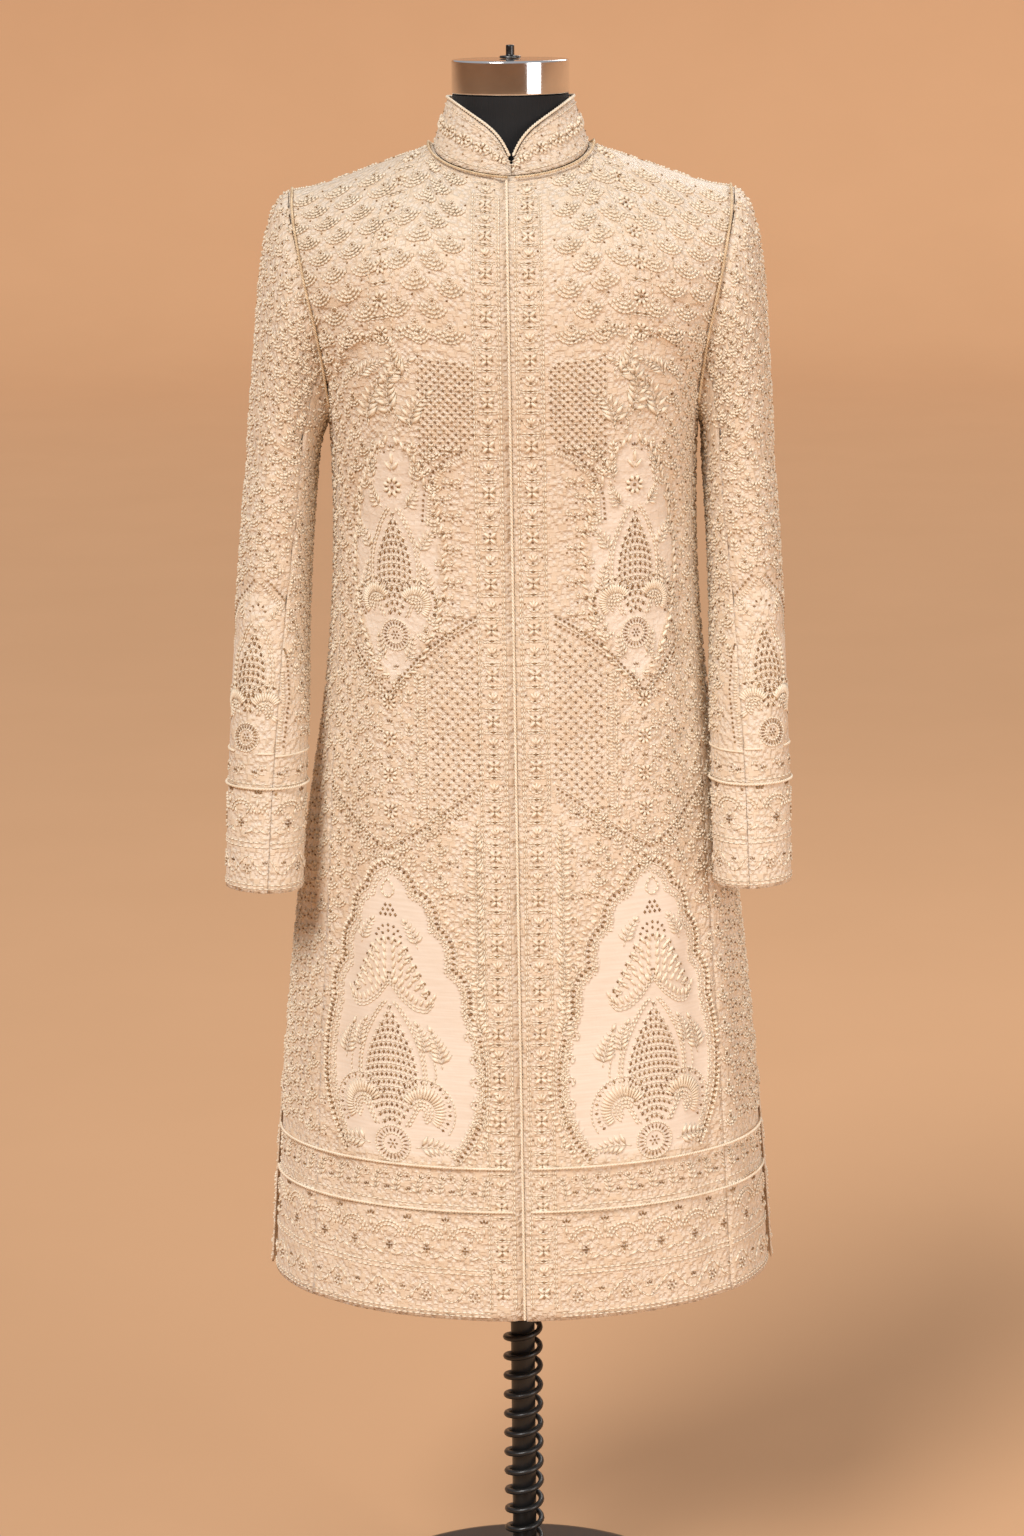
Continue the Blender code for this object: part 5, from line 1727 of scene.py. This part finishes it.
def neck_cord_line():
    line = []
    for k in range(101):
        turn = mix(-178.2, 178.2, k / 100)
        place = neck_point(turn)
        out = body_out(place, abs(turn) < 90)
        ahead = (neck_point(turn + 0.5) - neck_point(turn - 0.5)).normalized()
        line.append(place + (out.cross(ahead) + out) * (CORD_RADIUS + 4 * LAYER_GAP))
    return line


def armhole_cord_line(side):
    line = []
    for k in range(81):
        turn = mix(-140.0, 146.0, k / 80)
        place, behind = armhole_point(turn)
        out = body_out(place, behind)
        inward = armhole_ahead(turn).cross(out).normalized()
        place = place + inward * CORD_RADIUS * 2.6 + out * (CORD_RADIUS + 2 * LAYER_GAP)
        line.append(on_side(place, side))
    return line


def cuff_cord_line(name, side):
    down = 1.0 + (SLEEVE_TOP_HEIGHT - CUFF_CORD_Z) / (SLEEVE_TOP_HEIGHT - CUFF_Z)
    line = []
    for k in range(72):
        along = (5.0 * k, down, SLEEVE_SPLAY[name])
        line.append(on_side(sleeve_point(*along) + sleeve_out(*along) * (CORD_RADIUS + LAYER_GAP), side))
    return line


def hem_cord_line(side, z):
    first = turn_at(opening_x(z) * side + (0.006 if side > 0 else 0.012), z)
    last = turn_beside(90.0, z, -0.004)
    line = []
    for k in range(61):
        place = Vector(ring_point(mix(first, last, k / 60), z))
        place = place + body_out(place, False) * (CORD_RADIUS + LAYER_GAP)
        line.append(on_side(place, side))
    return line


def front_piping_line():
    line = []
    for k in range(91):
        z = mix(HEM_Z + PIPING_RADIUS, NECK_FRONT_Z - 2 * PIPING_RADIUS, k / 90)
        x = opening_x(z)
        line.append(Vector((x - PIPING_RADIUS - SEAM_GAP, body_y(x, z, False), z)))
    return line


def add_cords():
    add_cord("collar_piping", collar_piping_line(), PIPING_RADIUS, "cream_thread", CORD_TWIST)
    add_cord("neck_cord", neck_cord_line(), CORD_RADIUS, "gold_cord", CORD_TWIST)
    add_cord("front_piping", front_piping_line(), PIPING_RADIUS, "cream_thread", 0.007)
    for name, side in (("left", 1), ("right", -1)):
        add_cord(f"{name}_armhole_cord", armhole_cord_line(side), CORD_RADIUS, "gold_cord", CORD_TWIST)
        path = cuff_cord_line(name, side)
        add_cord(f"{name}_cuff_cord", path, CORD_RADIUS, "cream_thread", CORD_TWIST, True)
        for which, z in HEM_CORDS.items():
            path = hem_cord_line(side, z)
            add_cord(f"{name}_{which}_hem_cord", path, CORD_RADIUS, "cream_thread", CORD_TWIST)


# ---------------------------------------------------------------- the coat
# Each row of folds: one end's s and h, the other end's s and h, half the width, the depth.
FRONT_FOLDS = [
    (0.166, 1.19, 0.178, 0.98, 0.013, 0.0030),
    (0.178, 0.98, 0.176, 0.70, 0.015, 0.0034),
    (0.176, 0.74, 0.206, 0.39, 0.019, 0.0042),
    (0.083, 0.70, 0.072, 0.39, 0.026, 0.0022),
    (0.030, 0.98, 0.034, 0.60, 0.016, 0.0016),
    (0.112, 1.290, 0.150, 1.215, 0.007, 0.0034),
    (0.150, 1.215, 0.178, 1.130, 0.008, 0.0038),
    (0.128, 1.302, 0.168, 1.236, 0.006, 0.0024),
    (0.118, 1.348, 0.196, 1.292, 0.012, 0.0052),
    (0.100, 1.300, 0.180, 1.268, 0.009, 0.0030),
    (0.132, 1.386, 0.205, 1.352, 0.010, 0.0026),
    (0.060, 1.192, 0.116, 1.198, 0.006, 0.0020),
    (0.060, 1.168, 0.104, 1.176, 0.005, 0.0018),
    (0.083, 1.146, 0.114, 1.140, 0.004, 0.0013),
    (0.130, 1.150, 0.166, 1.163, 0.005, 0.0018),
    (0.126, 1.108, 0.158, 1.116, 0.004, 0.0010),
    (0.074, 1.104, 0.098, 1.099, 0.004, 0.0009),
    (0.134, 1.066, 0.178, 1.078, 0.006, 0.0014),
    (0.080, 1.030, 0.120, 1.024, 0.005, 0.0010),
    (0.150, 0.930, 0.197, 0.962, 0.010, 0.0022),
    (0.040, 1.440, 0.075, 1.395, 0.010, 0.0014),
]
BACK_FOLDS = [
    (-0.060, 1.10, -0.100, 0.40, 0.026, 0.0040),
    (0.078, 1.08, 0.112, 0.40, 0.024, 0.0036),
    (-0.006, 0.86, 0.012, 0.40, 0.022, 0.0028),
    (-0.185, 0.82, -0.215, 0.40, 0.026, 0.0038),
    (0.190, 0.84, 0.208, 0.40, 0.024, 0.0036),
    (-0.130, 1.130, 0.020, 1.118, 0.009, 0.0020),
    (-0.020, 1.092, 0.140, 1.104, 0.008, 0.0018),
    (-0.200, 1.300, -0.100, 1.350, 0.012, 0.0028),
    (0.200, 1.296, 0.108, 1.342, 0.011, 0.0026),
]
SIDE_FOLDS = [
    (0.030, 0.92, 0.046, 0.40, 0.018, 0.0036),
    (0.004, 1.11, 0.018, 1.10, 0.006, 0.0010),
]
SLEEVE_FOLDS = [
    (-0.030, 1.100, 0.052, 1.078, 0.010, 0.0032),
    (-0.050, 1.052, 0.024, 1.040, 0.008, 0.0022),
    (0.006, 1.140, 0.068, 1.120, 0.009, 0.0022),
    (-0.070, 1.204, 0.010, 1.222, 0.013, 0.0022),
    (0.020, 1.280, 0.072, 1.212, 0.011, 0.0034),
    (-0.064, 0.980, -0.006, 0.968, 0.009, 0.0014),
    (-0.095, 1.40, -0.080, 1.25, 0.014, 0.0020),
]


def add_worked_panel(panel, work, rests_on, cover=None):
    """A cloth panel with its needlework laid on it."""
    panel.cover = cover or panel.cover
    panel.build(rests_on, work.lay_all(panel))


def add_fronts():
    left = Panel("left_front", half_panel_points(False, opening_x, 50, 100, 36))
    left.press(FRONT_FOLDS)
    add_worked_panel(left, front_design(0.0175), ["torso"], cover_of)
    points = half_panel_points(False, right_edge_x, 56, 100, 36)
    right = Panel("right_front", points, start=UNDERLAP)
    sink = CLOTH + 2 * LAYER_GAP
    for r, row in enumerate(right.points):
        for c, (x, _, z) in enumerate(row):
            drop = sink * (1 - ease(SINK_END, SINK_START, x + opening_x(z)))
            right.points[r, c] -= right.normals[r, c] * drop
    right.points = mirrored(right.points)
    right.outside = -right.outside
    right.face()
    right.press(FRONT_FOLDS)
    add_worked_panel(right, front_design(0.0225), ["torso"], cover_of)


def add_sides():
    for name, side in (("left", 1), ("right", -1)):
        panel = Panel(f"{name}_side", for_side(net_of(side_net_place, 16, 90), side))
        panel.press(SIDE_FOLDS)
        add_worked_panel(panel, side_design(), [f"{name}_front_cloth"])


def back_cover(s, h):
    """The back's cloth is stitched over everywhere but inside its two arches."""
    return 1.0 if abs(abs(s) - ARCH_MIDDLE) > arch_half(abs(s), h) - 0.008 else 0.0


def add_back():
    left = half_panel_points(True, middle_x, 40, 90, 34)
    points = np.concatenate([mirrored(left)[:, :0:-1], left], axis=1)
    panel = Panel("back", points, zero=0.5, rule=0.75)
    panel.press(BACK_FOLDS)
    add_worked_panel(panel, back_design(), ["torso"], back_cover)


def add_sleeves():
    low, high = 180.0 - UNDER_SLEEVE_HALF_SPAN, 180.0 + UNDER_SLEEVE_HALF_SPAN
    for name, side in (("left", 1), ("right", -1)):
        splay = SLEEVE_SPLAY[name]
        upper = sleeve_points(splay, high - 360.0, low, 68, 76, 40)
        zero = (80.0 - (high - 360.0)) / (low - (high - 360.0))
        panel = Panel(f"{name}_upper_sleeve", for_side(upper, side), CUFF_Z, zero=zero, rule=zero)
        panel.press(SLEEVE_FOLDS)
        add_worked_panel(panel, sleeve_design(CUFF_Z), [f"{name}_front_cloth", "back_cloth"])
        under = sleeve_points(splay, low, high, 26, 56, 16)
        panel = Panel(f"{name}_under_sleeve", for_side(under, side), CUFF_Z, zero=0.0)
        add_worked_panel(panel, sleeve_design(CUFF_Z).shifted(-0.050), [f"{name}_upper_sleeve_cloth"])


def add_collar():
    panel = Panel("collar", net_of(collar_net_place, 200, 14), 0.0, zero=0.5)
    half, high = float(panel.width.min()) / 2, float(panel.h[-1])
    add_worked_panel(panel, collar_design(half, high), ["back_cloth", "left_front_cloth"])


# ---------------------------------------------------------------- dress form
def add_torso():
    """The padded body and neck, drawn on smooth rings and closed at both ends."""
    around, rows = 72, 96
    low, high = FORM_SECTIONS[0][0], FORM_SECTIONS[-1][0]
    form = bmesh.new()
    bmesh.ops.create_grid(form, x_segments=around, y_segments=rows, size=0.5)
    for vert in form.verts:
        angle = math.tau * (vert.co.x + 0.5)
        share = vert.co.y + 0.5
        z = mix(low, high, share)
        wide, front, back = (read_rows(FORM_SECTIONS, z, column) for column in (1, 2, 3))
        power, cos = 2 / FORM_SQUARENESS, math.cos(angle)
        y = -mix(back, front, ease(-0.25, 0.25, cos)) * rounded_power(cos, power)
        vert.co = Vector((wide * rounded_power(math.sin(angle), power), y, z))
    bmesh.ops.remove_doubles(form, verts=form.verts, dist=0.00001)
    bmesh.ops.holes_fill(form, edges=form.edges, sides=0)
    bmesh.ops.recalc_face_normals(form, faces=form.faces)
    mesh = mesh_from("padded_torso", form)
    torso = finish_piece("padded_torso", mesh, "black_jersey", ["torso"])
    mesh.set_sharp_from_angle(angle=math.radians(60))


def add_turned(name, profile, slot, node, steps=64):
    """A turned piece: its profile lies at +X and runs from the axis or round to its first point."""
    mesh = mesh_from(name, spun(profile, profile[0][0] > 0, steps, 0.000005))
    finish_piece(name, mesh, slot, [node])
    mesh.set_sharp_from_angle(angle=math.radians(35))


def rounded(corners, radius, steps=5):
    """A profile with each of its inner corners drawn as an arc; both end points stay."""
    made = [corners[0]]
    for before, corner, after in zip(corners, corners[1:], corners[2:]):
        here = Vector(corner)
        back, ahead = Vector(before) - here, Vector(after) - here
        reach = min(radius, back.length / 2.05, ahead.length / 2.05)
        start, end = here + back.normalized() * reach, here + ahead.normalized() * reach
        made += [tuple(quadratic(start, here, end, k / steps)) for k in range(steps + 1)]
    return made + [corners[-1]]


def add_stand():
    cap_foot, cap_top, cap_radius = 1.5525, 1.585, 0.0555
    cap = [(0.0, cap_top), (cap_radius, cap_top - 0.0006), (cap_radius, cap_foot), (0.0, cap_foot)]
    add_turned("polished_cap", rounded(cap, 0.0022), "chrome", "neck_cap", 96)
    pin = cap_top + 0.0003
    heights = ((0.0, 0.0125), (0.0040, 0.0122), (0.0040, 0.0026), (0.0100, 0.0022), (0.0100, 0.0), (0.0, 0.0))
    profile = moved(heights, 0.0, pin)
    add_turned("screw_pin", rounded(profile, 0.0009, 3), "dark_steel", "cap_pin", 32)
    top = FORM_SECTIONS[0][0] - SEAM_GAP
    socket = [(0.0, 0.0), (0.055, 0.0), (0.055, -0.006), (0.022, -0.012), (0.019, -0.016)]
    socket = moved(socket + [(0.019, -0.060), (0.0, -0.060)], 0.0, top)
    add_turned("socket_turning", rounded(socket, 0.0018), "black_paint", "torso_socket", 48)
    low, high = 0.0453, top - 0.0603
    pole = [(0.0, high), (0.0122, high), (0.0122, low), (0.0, low)]
    add_turned("pole_tube", rounded(pole, 0.0006, 2), "black_paint", "pole", 48)
    base = [(0.0, 0.045), (0.021, 0.045), (0.021, 0.030), (0.030, 0.022), (0.100, 0.0175)]
    base += [(0.180, 0.0125), (0.190, 0.0085), (0.190, 0.0), (0.0, 0.0)]
    add_turned("round_base", rounded(base, 0.0030), "black_paint", "base", 96)
    pitch, foot, head, reach, steps = 0.021, 0.062, 0.425, 0.0175, 24
    curve = round_curve("spring_coil", 0.003, 3, True)
    spline = curve.splines.new("POLY")
    spline.points.add(int((head - foot) / pitch * steps))
    for k, point in enumerate(spline.points):
        angle = math.tau * k / steps
        point.co = (reach * math.cos(angle), reach * math.sin(angle), foot + pitch * k / steps, 1.0)
    finish_piece("spring_coil", curve, "black_paint", ["spring"])
    for name in ("spring_foot_ring", "spring_head_ring"):
        low, high = (corner.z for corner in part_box(name))
        bore, rim, middle = 0.0125, 0.021, (low + high) / 2
        ring = [(bore, middle), (bore, high), (rim, high), (rim, low)]
        ring += [(bore, low), (bore, middle - 0.0001)]
        add_turned(name + "_turning", rounded(ring, 0.0012, 4), "black_paint", name, 48)


# ---------------------------------------------------------------- floor and light
def add_floor():
    """A wide round sheet that lies on the floor and curves up far away on every side."""
    flat, curl, high, sink, bends = 10.0, 2.5, 4.5, 0.0005, 10
    line = [(0.0, -sink), (3.0, -sink), (flat, -sink)]
    for k in range(1, bends + 1):
        angle = math.pi / 2 * k / bends
        line.append((flat + curl * math.sin(angle), curl * (1 - math.cos(angle)) - sink))
    line.append((flat + curl, high - sink))
    sweep = spun(line, False, 72, 0.0001)
    lowest = min(sweep.faces, key=lambda face: face.calc_center_median().length)
    if lowest.normal.z < 0:
        bmesh.ops.reverse_faces(sweep, faces=sweep.faces)
    mesh = mesh_from("studio_sweep", sweep)
    mesh.shade_smooth()
    floor = bpy.data.objects.new("studio_sweep", mesh)
    bpy.context.scene.collection.objects.link(floor)
    made = Surface("studio_paper", 0.85)
    tone = made.noise(EVEN, 2.5, 3.0)
    made.colour(made.ramp(tone, (0.3, (0.590, 0.338, 0.178)), (0.7, (0.604, 0.347, 0.184))))
    mesh.materials.append(made.material)


def add_light(name, light, place, target, power, colour):
    """Sets a light up at a place, turned towards a target."""
    light.energy = power
    light.color = colour
    holder = bpy.data.objects.new(name, light)
    bpy.context.scene.collection.objects.link(holder)
    holder.location = place
    holder.rotation_euler = (Vector(target) - Vector(place)).to_track_quat("-Z", "Y").to_euler()


def soft_box(name, wide, high):
    light = bpy.data.lights.new(name, "AREA")
    light.shape = "RECTANGLE"
    light.size, light.size_y = wide, high
    return light


def add_lights():
    """A broad key from the upper left, a fill, a warm rim from behind and a pale room."""
    chest, shoulders = (0.0, 0.0, 1.0), (0.0, 0.0, 1.2)
    sun = bpy.data.lights.new("key", "SUN")
    sun.angle = math.radians(24.0)
    add_light("key", sun, (-1.7, -2.6, 4.0), chest, 2.35, (1.0, 0.975, 0.95))
    add_light("fill", soft_box("fill", 1.8, 2.2), (2.8, -2.6, 1.6), chest, 58.0, (1.0, 0.98, 0.96))
    add_light("rim", soft_box("rim", 1.4, 1.0), (1.2, 2.4, 2.9), shoulders, 26.0, (1.0, 0.95, 0.90))
    room = bpy.data.worlds.new("studio")
    room.use_nodes = True
    background = room.node_tree.nodes["Background"]
    background.inputs["Color"].default_value = (0.96, 0.97, 1.0, 1.0)
    background.inputs["Strength"].default_value = 0.42
    bpy.context.scene.world = room
    bpy.context.scene.view_settings.view_transform = "Standard"


add_camera()
add_torso()
add_stand()
add_fronts()
add_sides()
add_back()
add_sleeves()
add_collar()
add_cords()
add_floor()
add_lights()
